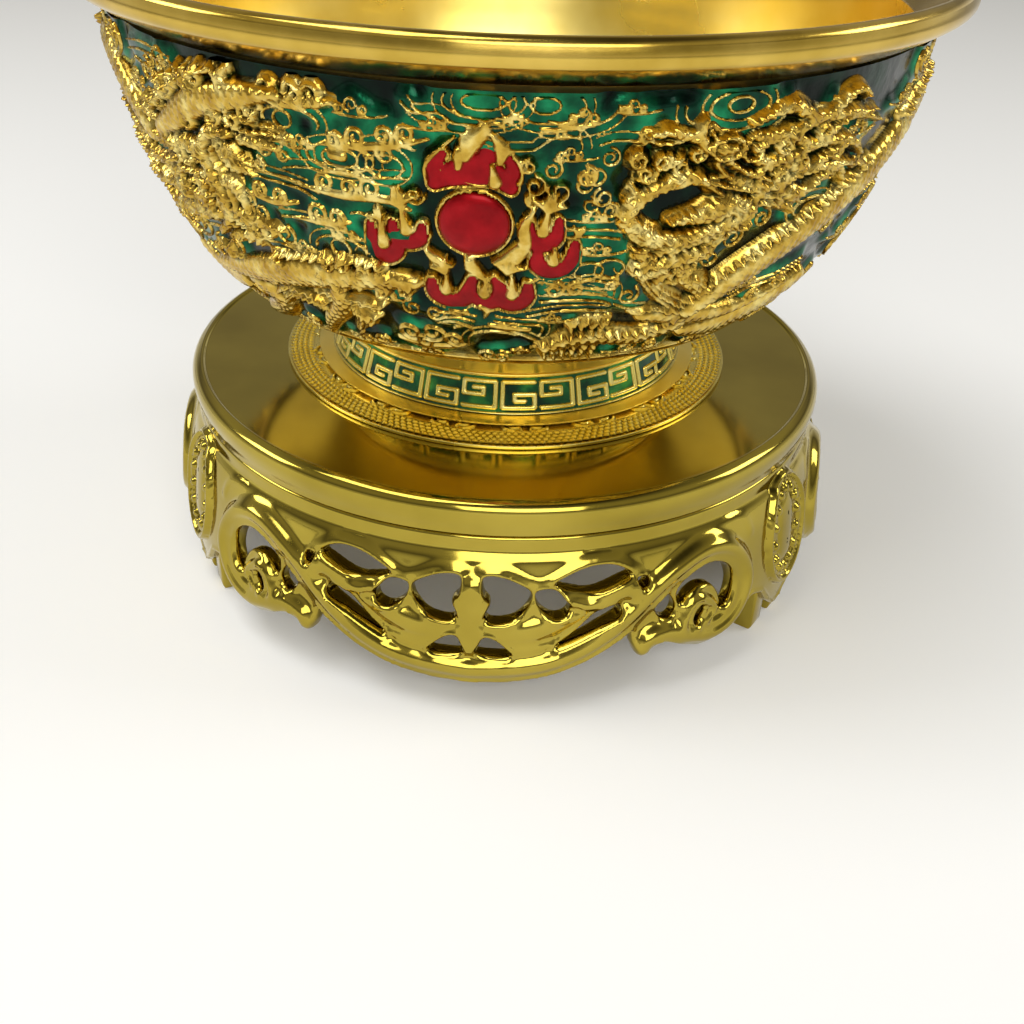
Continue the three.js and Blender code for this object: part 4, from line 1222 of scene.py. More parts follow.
@dataclass
class FootRing:
    """Splayed foot with a green band of square spirals."""

    base: float = 35.6
    low: tuple = (29.62, 36.3)
    high: tuple = (27.82, 41.85)
    keys: int = 30
    inset: float = 0.95
    first_divider: float = 2.3
    line: float = 0.39

    def face(self, share: np.ndarray, lift: np.ndarray) -> tuple[np.ndarray, np.ndarray]:
        """Radius and height on the band: low + share (high - low) + lift n, with n its normal.

        Args:
            share: Share of the slope, from 0 at its foot.
            lift: Millimetres along the normal.

        Returns:
            Radius and height arrays.
        """
        (r0, z0), (r1, z1) = self.low, self.high
        size = math.hypot(r1 - r0, z1 - z0)
        radius = r0 + (r1 - r0) * share + lift * (z1 - z0) / size
        return radius, z0 + (z1 - z0) * share - lift * (r1 - r0) / size

    def fret(self) -> Relief:
        """Square spirals in cells of 12 degrees, every other one turned over, between two lines.

        A spiral joins the points m + k (cell, height) of the key k, a turned one those of 1 - k.

        Returns:
            Relief over angles and lengths up the slope.
        """
        size = math.hypot(self.high[0] - self.low[0], self.high[1] - self.low[1])
        angles = np.linspace(-180, 180, 1350, endpoint=False)
        lengths = np.linspace(0, size, 40)
        radii = self.face(lengths / size, 0)[0]
        relief = Relief(angles, lengths, radii, ground=-0.15)
        cell = 360 / self.keys
        key = np.array([
            (0.91, 1), (0.09, 1), (0.09, 0), (0.91, 0), (0.91, 0.52), (0.4, 0.52), (0.4, 0.26),
            (0.66, 0.26),
        ])
        low, high = self.inset, size - self.inset
        for number in range(-self.keys // 2 - 1, self.keys // 2 + 1):
            start = self.first_divider + number * cell
            shares = 1 - key if number % 2 else key
            path = np.column_stack([start + shares[:, 0] * cell, low + shares[:, 1] * (high - low)])
            relief.raise_strand(Strand(path, (self.line, self.line), 0.34, Cut.FLAT, curved=False))
        for length in (0.05, size - 0.05):
            edge = [(angle, length) for angle in (-180, 0, 180)]
            relief.raise_strand(Strand(edge, (0.2, 0.2), 0.3, Cut.FLAT, curved=False))
        return relief

    def build(self) -> None:
        """Make the ring, its enamel band and the gilt spirals."""
        (r0, z0), (r1, z1) = self.low, self.high
        splay = curve_through(((32.2, 36), (31.4, 36.08), (30.5, 36.14), (29.8, 36.22)), 12)
        bead = curve_through(((28.05, 41.95), (28.45, 42.1), (28.5, 42.32), (28.3, 42.5)), 10)
        under = ((26.9, self.base), (32.0, self.base), (32.2, 35.75))
        slope = ((r0 - 0.2, z0), (r1 - 0.2, z1))
        points, faces = lathe(np.concatenate([under, splay, slope, bead, ((26, 42.5),)]))
        make_piece("foot_splay", points, faces, SPUN_GILDING, "bowl", "gilt_metal", ["foot_ring"])
        band = ((r0, z0 - 0.1), (r1, z1 + 0.1), (r1 - 0.4, z1 + 0.1), (r0 - 0.4, z0 - 0.1))
        points, faces = lathe(np.array(band))
        make_piece("foot_enamel", points, faces, FRET_ENAMEL, "bowl", "green_enamel")
        relief = self.fret()
        size = relief.lengths[-1]
        radius, height = self.face(relief.lengths[:, None] / size, relief.height)
        face = polar(relief.angles[None], radius, height).reshape(-1, 3)
        quads = grid_faces(*relief.height.shape, wraps=True)[:, ::-1]
        shown = (relief.height.ravel()[quads] > -0.14).any(1)
        normals = vertex_normals(face, quads)
        # Painted shade in the hollows between the spirals
        painted_shade = relief.hollows().ravel()
        points, normals, painted_shade, quads = patch(face, normals, painted_shade, quads[shown])
        make_piece(
            "foot_fret", points, [quads], STAMPED_GILDING, "bowl", "gilt_metal",
            normals=normals, painted_shade=painted_shade, sharp=None,
        )


def drops(*ends: tuple) -> list[Strand]:
    """Gold teardrops of the flames, each from its thin top to its round bottom."""
    return [Strand((top, bottom), (0.35, 0.75, 1.0), 1.35) for top, bottom in ends]


def curl(
    angle: float, length: float, radius: float, flip: int = 1, start: float = 0.0,
    turns: float = 1.4, width: float = 0.3, rise: float = 1.35,
) -> Strand:
    """Spiral: p = m + r (1 - 0.75 t / n)(sin t, cos t) round a middle m, n turns in all.

    Args:
        angle: Angle of the middle.
        length: Its length up the wall.
        radius: Reach r of its start; a degree is about a millimetre on the wall.
        flip: 1 when it runs towards greater angles, -1 the other way.
        start: Bearing of its start.
        turns: How many turns it makes.
        width: Half-width of the line.
        rise: Height of the line.

    Returns:
        The strand.
    """
    turn = np.linspace(0, turns * 2 * math.pi, int(14 * turns) + 2)
    reach = radius * (1 - 0.75 * turn / turn[-1])
    bearing = turn + math.radians(start)
    path = np.column_stack([
        angle + flip * reach * np.sin(bearing), length + reach * np.cos(bearing)
    ])
    return Strand(path, (width, width * 0.8), rise)


def ring(
    angle: float, length: float, across: float, up: float, width: float = 0.26,
    rise: float = 1.4, start: float = 0.0, end: float = 360.0,
) -> Strand:
    """Oval wire, or the part of one between two bearings: p = m + (a sin t, b cos t)."""
    turn = np.radians(np.linspace(start, end, max(int(abs(end - start) / 14), 6)))
    return Strand(
        np.column_stack([angle + across * np.sin(turn), length + up * np.cos(turn)]),
        (width, width), rise,
    )


def wire(*path: tuple, width: float = 0.26, rise: float = 1.4) -> Strand:
    """Thin gold line, slimmer at its ends."""
    return Strand(path, (width * 0.8, width, width, width * 0.8), rise)


def thick(widths: Sequence[float], rise: float, *path: tuple, cut: Cut = Cut.ROUND) -> Strand:
    """Strand with its widths first."""
    return Strand(path, widths, rise, cut)


def cloud(
    angle: float, length: float, size: float, flip: int = 1, rise: float = 1.35
) -> list[Strand]:
    """Cloud of three curls in an arch, over a line with a long tail.

    Args:
        angle: Angle of its middle.
        length: Its length up the wall.
        size: Scale of the cloud.
        flip: 1 when its tail runs to greater angles, -1 the other way.
        rise: Height of its lines.

    Returns:
        List of strands.
    """
    places = ((-1.5, 0.1, 0.75), (0, 0.75, 1.0), (1.5, 0.15, 0.75))
    strands = [
        curl(angle + flip * x * size, length + y * size, r * size, flip, 200, 1.25, 0.26, rise)
        for x, y, r in places
    ]
    tail = (
        (angle - flip * 2.6 * size, length - 0.5 * size),
        (angle, length - 0.75 * size),
        (angle + flip * 2.6 * size, length - 0.6 * size),
        (angle + flip * 4.6 * size, length - 0.2 * size),
    )
    return [*strands, wire(*tail, rise=rise)]


def tuft(
    angle: float, length: float, bearing: float, reach: float, count: int, spread_by: float,
    width: float = 0.45, rise: float = 1.2,
) -> list[Strand]:
    """Fan of tapering locks: each runs 0.55 r from the root and 0.5 r on, bent to one side.

    Args:
        angle: Angle of the root.
        length: Its length up the wall.
        bearing: Way of the fan's middle, 0 up the wall.
        reach: Length r of a lock.
        count: How many locks there are.
        spread_by: Degrees from one lock to the next.
        width: Half-width at the root.
        rise: Height of the locks.

    Returns:
        List of strands.
    """
    strands = []
    for number in range(count):
        turn = math.radians(bearing + spread_by * (number - (count - 1) / 2))
        bend = turn + math.radians(28 if number % 2 else -22)
        middle = (angle + 0.55 * reach * math.sin(turn), length + 0.55 * reach * math.cos(turn))
        tip = (middle[0] + 0.5 * reach * math.sin(bend), middle[1] + 0.5 * reach * math.cos(bend))
        widths = (width, width * 1.2, width * 0.3)
        strands.append(Strand(((angle, length), middle, tip), widths, rise))
    return strands


# Strands of the relief, by places of (angle, length). First the red fills between the flames
RED_FILLS = [
    thick((0.8, 1.4, 2.0, 1.4, 0.8), 0.6, (-5.0, 49.6), (-3.2, 50.7), (-0.6, 51.5), (1.9, 50.9),
        (3.7, 49.5)),
    thick((0.7, 1.0, 0.6), 0.6, (-4.9, 50.2), (-5.0, 51.8), (-4.0, 53.2)),
    thick((0.9, 0.8, 0.5), 0.6, (3.2, 50), (3.9, 51.4), (3.3, 53.0)),
    thick((1.4, 1.2, 0.7), 0.6, (-0.2, 51.8), (1.0, 53.0), (0.8, 53.8)),
    thick((0.6, 1.0, 1.3, 1.1, 0.7), 0.6, (-13.2, 43.4), (-13.2, 40.2), (-12, 38.9), (-10.4, 40),
        (-9.8, 42)),
    thick((0.6, 1.0, 1.1, 1.0, 0.5), 0.6, (-10.4, 44), (-10.2, 42.2), (-8.7, 41.4), (-7.1, 42.2),
        (-6.7, 44)),
    thick((0.5, 1.0, 1.2, 1.0, 0.5), 0.6, (5.9, 45.6), (6.1, 43.4), (7.6, 42.2), (9.2, 43.2),
        (9.4, 45.6)),
    thick((0.6, 1.1, 1.3, 1.1, 0.6), 0.6, (7.2, 41.2), (7.4, 39.2), (9.3, 38.2), (11.3, 39.4),
        (11.6, 42.4)),
    thick((0.6, 1.1, 1.4, 1.3, 0.6), 0.6, (-6.2, 36), (-6, 33.6), (-4.3, 32.5), (-2, 33),
        (-0.8, 36.8)),
    thick((0.9, 1.2, 1.3, 1.0, 0.5), 0.6, (-1.2, 33.6), (0.8, 32.4), (2.6, 33.2), (2.8, 35),
        (2.0, 36.8)),
    thick((0.9, 1.3, 1.1, 0.6), 0.6, (2.4, 32.8), (4.6, 32.2), (6.2, 33.6), (6.3, 36)),
]
# Gilt flames and teardrops round the pearl
FLAME_GOLD = [
    *drops(((1.5, 52.3), (1.9, 50.2)), ((-11.7, 44.6), (-11.9, 40.9)), ((-9, 46), (-8.7, 43.2)),
        ((8, 47), (7.6, 44.1)), ((9.2, 41.8), (9.2, 39.9)), ((-4.1, 37), (-4.4, 34.4)),
        ((0.9, 36.6), (0.7, 34.2)), ((4.2, 37.6), (4.3, 34.2))),
    thick((0.9, 1.5, 1.2, 0.4), 1.6, (-1.4, 53.2), (-0.8, 55), (0.4, 56.2), (0.8, 57.4)),
    thick((0.6, 1.0, 0.4), 1.4, (-2.2, 51.9), (-1.9, 53.6), (-0.6, 54.8)),
    thick((0.7, 1.1, 0.4), 1.4, (2.4, 52.8), (2.6, 54.4), (1.4, 56)),
    thick((0.3, 0.4, 0.35), 1.0, (-5.9, 49.6), (-6, 51.6), (-4.4, 53.6), (-2.7, 55.2)),
    ring(-3.5, 51.9, 0.85, 1.15, 0.25, 0.9),
    wire((4.6, 49.4), (4.9, 51.4), (4, 53.4), (2.9, 54.6), width=0.35, rise=0.9),
    wire((-2.4, 50.4), (0, 49.7), (1.4, 50), rise=0.9), *tuft(-9.2, 46.4, -10, 2.6, 4, 34, 0.5),
    *tuft(-11.8, 44.4, -30, 1.8, 3, 36, 0.4), *tuft(8, 46.8, 10, 2.4, 4, 34, 0.5),
    *tuft(11.6, 43.6, 20, 1.6, 3, 30, 0.4), *tuft(-4.2, 37.4, -20, 2.2, 3, 34, 0.5),
    *tuft(3.6, 38, 10, 2.6, 4, 32, 0.5),
    thick((0.6, 1.0, 0.9, 0.4), 1.2, (4.8, 39.8), (5.6, 42), (5.4, 44.6), (6.4, 47)),
    thick((0.8, 1.1, 0.6), 1.1, (-1.2, 39.4), (-0.8, 38.2), (0.6, 37)),
    thick((0.4, 0.7, 0.3), 1.0, (0, 32), (1, 31), (0.6, 29.8)),
    thick((0.6, 1.1, 0.9), 1.2, (2.2, 39.6), (4, 40.4), (5, 41.8)),
    thick((0.5, 0.9, 0.5), 1.1, (-6.4, 40.6), (-5.4, 39.4), (-3.4, 38.6)),
    *[curl(a, v, r, f, s, 1.3, 0.3, 1.0) for a, v, r, f, s in ((6.4, 49.8, 1.3, 1, 0),
        (9.2, 49.2, 1.5, -1, 60), (11.8, 50, 1.2, 1, 0), (5.6, 52.2, 1.0, -1, 0),
        (-7.4, 47.8, 1.2, 1, 90), (6.2, 48, 0.9, -1, 30), (12.8, 47.6, 1.1, 1, 0))],
]
# Fine lines of the sky
SKY = [
    ring(0.5, 59.4, 2.4, 0.9), ring(0.5, 59.4, 4.4, 1.9),
    ring(-1, 59.4, 6.6, 2.6, start=120, end=250), ring(7, 59.2, 1.6, 0.9), ring(7.2, 59.2, 4, 2),
    ring(8.6, 59.2, 6.2, 2.6, start=90, end=200),
    wire((-8.4, 58.8), (-7, 57.7), (-4.4, 57.9), (-2.6, 56.8)),
    ring(3.6, 57, 1, 0.8, start=-120, end=120), ring(29, 58.7, 1.6, 0.9, 0.3),
    ring(29, 58.6, 3.8, 1.7), ring(28.6, 58.4, 6.4, 2.6, start=80, end=280),
    ring(-16, 51.5, 4.2, 1.6, 0.28), ring(-16, 51.5, 2.2, 1.1),
    thick((0.9, 0.9), 1.3, (-16.9, 51.8), (-15.7, 51.7)), ring(-10.6, 51.2, 2.2, 1.4),
    curl(-10.4, 52.6, 1.2, -1), wire((-12.6, 53.4), (-10, 54), (-7, 53.4)),
    wire((-24, 49), (-20.6, 49.6), (-14, 49.5), (-8, 50)),
    wire((-29, 47.1), (-25, 46.9), (-22, 46.6), (-20, 45.6)),
    wire((-28.6, 47.8), (-24, 47.6), (-21, 47)), wire((-26, 42.2), (-22, 42.6), (-16.6, 42)),
    wire((-15.6, 44.6), (-14, 44.8), (-12.8, 44)), ring(-18, 39.2, 1.3, 1.3),
    ring(-18, 39, 3.6, 1.9, start=-95, end=95), ring(-14.8, 38.7, 1.2, 1.4, start=-60, end=160),
    wire((-30, 36.4), (-26, 36.7), (-22, 36.2), (-19, 35.4)),
    wire((10, 44.8), (13, 44.5), (15.6, 44.4)), wire((10.6, 43.4), (14, 43.5), (17, 43)),
    ring(13.8, 38.4, 1.9, 1.3), ring(16.4, 38.6, 1.9, 1.5),
    wire((11.6, 36.4), (15, 36.8), (17.6, 35.6), (18, 34)), curl(17.2, 36, 1.1, 1),
    curl(8.2, 52, 1.2, 1), curl(13.2, 51.3, 1.4, -1, 40),
    ring(9.6, 56.2, 1.2, 0.9, start=-90, end=120), wire((0, 54.3), (3, 54.1), (6, 54.2)),
    wire((6, 54.2), (8.6, 55.9), (10.8, 55.6), (11.2, 54.4)),
    wire((13, 54.8), (15, 55.4), (18, 55.1), (20, 55)), curl(14.4, 53.4, 1.2, 1),
    curl(14.2, 48.6, 1.3, -1, 20), curl(15.2, 46.9, 1.0, 1),
    wire((6.4, 30.4), (10, 31.4), (14, 31.6), (17.6, 31.2)),
    wire((8, 33.2), (12, 33.5), (16, 33.2), (18, 32.4)), wire((8.6, 34.4), (13, 34.7), (17, 34.2)),
    wire((2, 29.2), (5.4, 28.8), (8.6, 28.6), (9, 27.4), (8.6, 26.2)),
    wire((2.4, 27.8), (5, 27), (7.6, 25.6), (8.8, 24.6)),
    wire((-2, 23.2), (-1.8, 25.4), (0, 26.8), (3, 27), (5.4, 26.4)),
    curl(0.8, 20.2, 1.8, 1, 180, 1.2), curl(3, 19.6, 1.4, -1, 180, 1.2),
    wire((7.6, 23.2), (9.4, 23.4), (10.4, 22.6)), curl(-9.6, 30.6, 1.5, -1),
    curl(-6.4, 30, 1.4, 1, 90), wire((-6, 28.8), (-3.6, 29.6), (-0.8, 29)),
    wire((-4, 27.2), (-2, 28), (-1, 26.4)), curl(-17.4, 21.2, 1.6, 1, 40),
    curl(-20.4, 20.6, 1.4, -1), wire((-24, 20), (-20, 19.2), (-15, 19.6)), ring(-23, 55, 1.2, 1),
    ring(-22, 55, 3.8, 1.5, start=-100, end=110), curl(-26.4, 51, 1.2, 1),
    curl(-23.6, 50.6, 1.0, -1), wire((-24.6, 52.2), (-22.4, 51.8), (-20.8, 50.6)),
    curl(-27.6, 48.8, 1.0, 1), curl(-29.4, 42, 1.4, -1, 60), curl(-31, 43.4, 1.2, 1),
    curl(-26.4, 39.4, 1.7, 1, 30), curl(32.6, 41.6, 1.6, 1, 30), curl(30.4, 38.8, 1.5, -1),
    curl(36.4, 43.8, 1.4, 1), curl(33.8, 43.4, 1.0, -1), curl(20, 33.8, 1.6, 1, 30),
    wire((18.4, 32.4), (20.6, 31.4), (23, 31.2)), wire((17, 38.6), (18, 37), (17.4, 35.4)),
    curl(43, 56.6, 1.4, 1), curl(47, 48.2, 1.3, -1), curl(51.6, 48.6, 1.2, 1),
    ring(45, 43.8, 3.2, 1.3), curl(52, 39.4, 1.6, 1), curl(43.6, 29.4, 1.7, -1),
    wire((38, 30), (41, 31.4), (46, 31.6), (52, 33)), curl(48, 31, 1.2, 1), curl(-39, 34, 1.7, 1),
    curl(-43, 33.4, 1.4, -1), wire((-47, 35.2), (-42, 36.4), (-36, 37)), curl(-47, 56.4, 1.6, 1),
    wire((-52, 58), (-47, 58.6), (-41, 58)), curl(-42.6, 57.4, 1.3, -1), curl(24, 21.6, 1.8, 1),
    curl(28.6, 21.4, 1.5, -1), wire((20, 19.4), (25, 19), (31, 19.8)), curl(-31.6, 21, 1.6, 1),
    wire((-36, 19.4), (-31, 18.6), (-27, 19.2)),
]
# Broader gilt clouds beside the flames
CLOUD_GOLD = [
    *[curl(a, v, r, f, s, 1.3, 0.4, 1.3) for a, v, r, f, s in ((-18.4, 48.2, 1.3, 1, 200),
        (-15.4, 48, 1.2, -1, 200), (-12.6, 48.2, 1.4, 1, 200), (-20, 43.8, 1.5, 1, 200),
        (-17.6, 43.6, 1.2, -1, 200), (-28.4, 45.3, 1.2, 1, 200), (-25.6, 45, 1.1, -1, 200),
        (-29, 39.2, 1.7, 1, 200), (-13.8, 54.2, 1.3, 1, 200), (-10.6, 54.8, 1.2, -1, 200),
        (-8, 55.2, 1.2, 1, 200), (-16.4, 53.6, 1.1, -1, 200), (12, 51.2, 1.3, 1, 0),
        (18.4, 55.9, 1.0, 1, 200), (-11, 25, 2.0, 1, 160), (-7.4, 25.4, 2.1, -1, 160),
        (-4.2, 24.4, 1.7, 1, 160), (-9, 23, 1.5, -1, 0), (9.8, 35.4, 1.4, 1, 0),
        (12.6, 35.6, 1.2, -1, 0))],
    thick((0.5, 0.9, 0.8, 0.3), 1.1, (-20.4, 47), (-16, 46.8), (-11, 47), (-8, 46)),
    thick((0.4, 0.8, 0.4), 1.1, (-23, 42.6), (-19.4, 42.6), (-16, 43.2)),
    thick((0.4, 0.8, 0.4), 1.1, (-30, 44.4), (-26.4, 44), (-23, 44.6)),
    thick((0.4, 0.8, 0.7, 0.3), 1.1, (-18, 52.9), (-13, 53.2), (-9, 53.8), (-5.6, 54.8)),
    thick((0.5, 1.1, 1.0, 0.4), 1.1, (-13.4, 23), (-10, 21.6), (-6, 21.8), (-2.8, 23)),
    thick((0.4, 0.9, 1.0, 0.5), 1.1, (7.2, 36.8), (10, 36.2), (14, 35.6), (17, 34.6),
        cut=Cut.GROOVED),
    thick((0.5, 0.7, 0.5), 1.1, (1.4, 28.4), (4, 27.9), (7, 27.6)),
    thick((0.6, 1.2, 0.5), 1.1, (-6.2, 28), (-3.8, 28.6), (-1, 27.6), cut=Cut.GROOVED),
]
# Dragon right of the pearl: head, mane, forelegs, body and tail
RIGHT_DRAGON = [
    thick((0.8, 1.3, 1.5, 1.3, 1.2, 1.5), 2.0, (24.4, 50.6), (19.8, 49.6), (17.3, 46.6),
        (19.4, 43.8), (25, 42.7), (33, 45)),
    thick((0.35, 0.4, 0.35), 2.1, (17.2, 48), (17, 45.4), (19.2, 42.8), (25, 41.7), (32, 43.6)),
    thick((0.5, 1.2, 2.2, 1.6), 2.0, (22.8, 45.2), (26, 45.6), (29.6, 46.2), (33.6, 45.6)),
    thick((0.8, 1.2, 0.6), 2.2, (21.4, 50.8), (23.8, 51), (26.2, 50)),
    curl(32.6, 44.6, 1.5, 1, 120, 1.3, 0.55, 2.1),
    *[curl(a, v, 1.15, f, s, 1.2, 0.5, 1.9) for a, v, f, s in ((17.6, 53.2, -1, 0),
        (20.2, 53, 1, 60), (22.6, 52.2, -1, 0), (17.4, 48.6, 1, 0), (18.6, 51.6, 1, 90),
        (24.4, 53.6, 1, 0))],
    thick((0.5, 0.9, 0.8), 1.9, (18.2, 55.9), (21, 56.3), (24.4, 55.2)),
    ring(20.6, 55.6, 2.0, 0.8, 0.35, 1.6),
    thick((0.6, 1.2, 0.5), 2.1, (24.6, 57.6), (24.2, 55.8), (25.6, 53.8)),
    ring(28, 54, 2.0, 1.3, 0.45, 2.2), thick((1.1, 1.1), 2.3, (27.4, 54), (28.6, 54)),
    thick((1.2, 2.0, 2.2, 1.2), 1.9, (25.6, 56), (28.6, 52.4), (32, 50.4), (35, 49.4),
        cut=Cut.GROOVED),
    thick((0.8, 1.8, 1.6), 1.8, (26.4, 50), (29.6, 49), (33.6, 48), cut=Cut.GROOVED),
    ring(31.6, 53.6, 1.3, 1.5, 0.4, 2.0),
    *[thick((0.8, 1.1, 0.9, 0.7, 0.25), 1.8, (31 + i * 0.5, 56.6 - 1.55 * i), (36, 57.2 - 1.6 * i +
        0.8 * (-1) ** i), (41, 56.8 - 1.6 * i - 0.7 * (-1) ** i), (47, 58 - 1.6 * i + 0.6 * (-1) **
        i), (50 + 2.5 * (i % 3), 57.2 - 1.9 * i)) for i in range(7)],
    *[curl(a, v, r, f, s, 1.3, 0.5, 1.9) for a, v, r, f, s in ((36, 53.4, 1.3, 1, 0),
        (39.6, 51, 1.2, -1, 60), (42.4, 54.2, 1.3, 1, 120), (37, 49.6, 1.2, -1, 0),
        (45.6, 51.4, 1.2, 1, 30))],
    *[thick((0.6, 0.8, 0.3), 1.6, (33 + i, 48.4 - 1.1 * i), (38 + i, 47.8 - 1.4 * i),
        (43 - i, 46.6 - 1.4 * i)) for i in range(3)],
    *tuft(24, 42.4, 200, 2.6, 6, 26, 0.55, 1.7), *tuft(29.6, 43, 170, 2.4, 4, 26, 0.5, 1.6),
    *tuft(20.4, 41.6, 220, 1.8, 4, 26, 0.45, 1.6),
    thick((0.8, 1.5, 1.2), 1.7, (20, 41.6), (25, 41.8), (29, 42), cut=Cut.GROOVED),
    *[curl(a, v, r, f, s, 1.2, 0.45, 1.6) for a, v, r, f, s in ((20, 38.6, 1.4, 1, 0),
        (22.6, 38.2, 1.3, -1, 60), (25, 38, 1.2, 1, 0), (27.4, 38.4, 1.3, -1, 90),
        (21, 40.2, 1.1, 1, 90), (28.8, 40, 1.1, 1, 0))],
    *tuft(23.6, 39, 195, 3.4, 5, 20, 0.45, 1.7),
    thick((0.9, 1.4, 0.8), 1.8, (28.6, 40.4), (25.4, 39.6), (22, 38.8)),
    thick((0.7, 1.1, 1.3, 1.0), 1.5, (20.6, 38), (23.6, 34.4), (27.4, 31.6), (31, 30),
        cut=Cut.GROOVED),
    thick((1.3, 2.2, 2.7, 2.8, 2.7, 2.7), 2.1, (30.6, 29.4), (35, 33.4), (40, 36.8), (47, 40.8),
        (57, 45.4), (67, 50), cut=Cut.SCALED),
    thick((0.35, 0.5, 0.5), 2.3, (29.4, 31.4), (34, 36), (39, 39.4), (46, 43.4), (56, 48),
        cut=Cut.BEADED),
    thick((1.2, 1.6, 0.8), 1.6, (33, 33), (30, 34.4), (27, 36)),
    *tuft(28, 35.8, 300, 2.2, 4, 24, 0.4, 1.5),
    thick((0.7, 1.5, 1.6, 1.6, 1.5), 1.8, (9.6, 23), (13.4, 25), (18, 25.4), (24, 24.6),
        (30.4, 26.8), cut=Cut.SCALED),
    thick((0.4, 0.55, 0.55), 2.1, (8.8, 24), (13, 26.4), (18, 26.8), (24, 26), (29, 27.8),
        cut=Cut.BEADED),
    *[thick((0.5, 0.6, 0.25), 1.3, (10.4 + i * 1.5, 24.2), (9.8 + i * 1.6, 21.6),
        (10.8 + i * 1.5, 18.6)) for i in range(6)],
    *[thick((0.4, 0.55, 0.25), 1.3, (13.4 + i * 1.5, 27), (13.2 + i * 1.5, 28.2),
        (14 + i * 1.5, 29.2)) for i in range(4)],
    thick((1.0, 1.6, 1.8, 1.2, 0.6), 1.6, (23, 29.6), (28, 28.6), (33, 27.4), (41, 27.6),
        (50, 30.4), cut=Cut.SCALED),
    thick((0.4, 0.5, 0.4), 1.5, (21.6, 30.4), (24, 31), (27.4, 30), (31, 29.2)),
    thick((1.4, 2.4, 2.6, 1.6), 1.6, (33, 24), (40, 23), (48, 25), (56, 29), cut=Cut.SCALED),
    thick((2.6, 2.9, 3, 2.9, 2.8, 2.6, 2.3, 1.9, 1.3, 0.5), 2.0, (64, 49), (76, 53), (88, 49),
        (97, 40), (107, 34), (119, 37), (130, 46), (142, 50), (154, 44), (166, 35), cut=Cut.SCALED),
    thick((0.5, 0.6, 0.5, 0.3), 2.2, (64, 52), (77, 56), (90, 51.4), (100, 41), (108, 37),
        (118, 40), (128, 48.6), cut=Cut.BEADED),
    thick((1.7, 1.9, 1.4, 0.4), 1.6, (92, 45), (84, 39), (85, 33), (80, 30), cut=Cut.SCALED),
    thick((1.5, 1.7, 1.3, 0.4), 1.6, (126, 42), (119, 47), (121, 52), (116, 55), cut=Cut.SCALED),
    *tuft(80, 30, 180, 3, 4, 34, 0.5, 1.5), *tuft(116, 55.4, 0, 2.6, 4, 34, 0.5, 1.5),
    *tuft(166, 35, 120, 4, 6, 22, 0.5, 1.4),
]
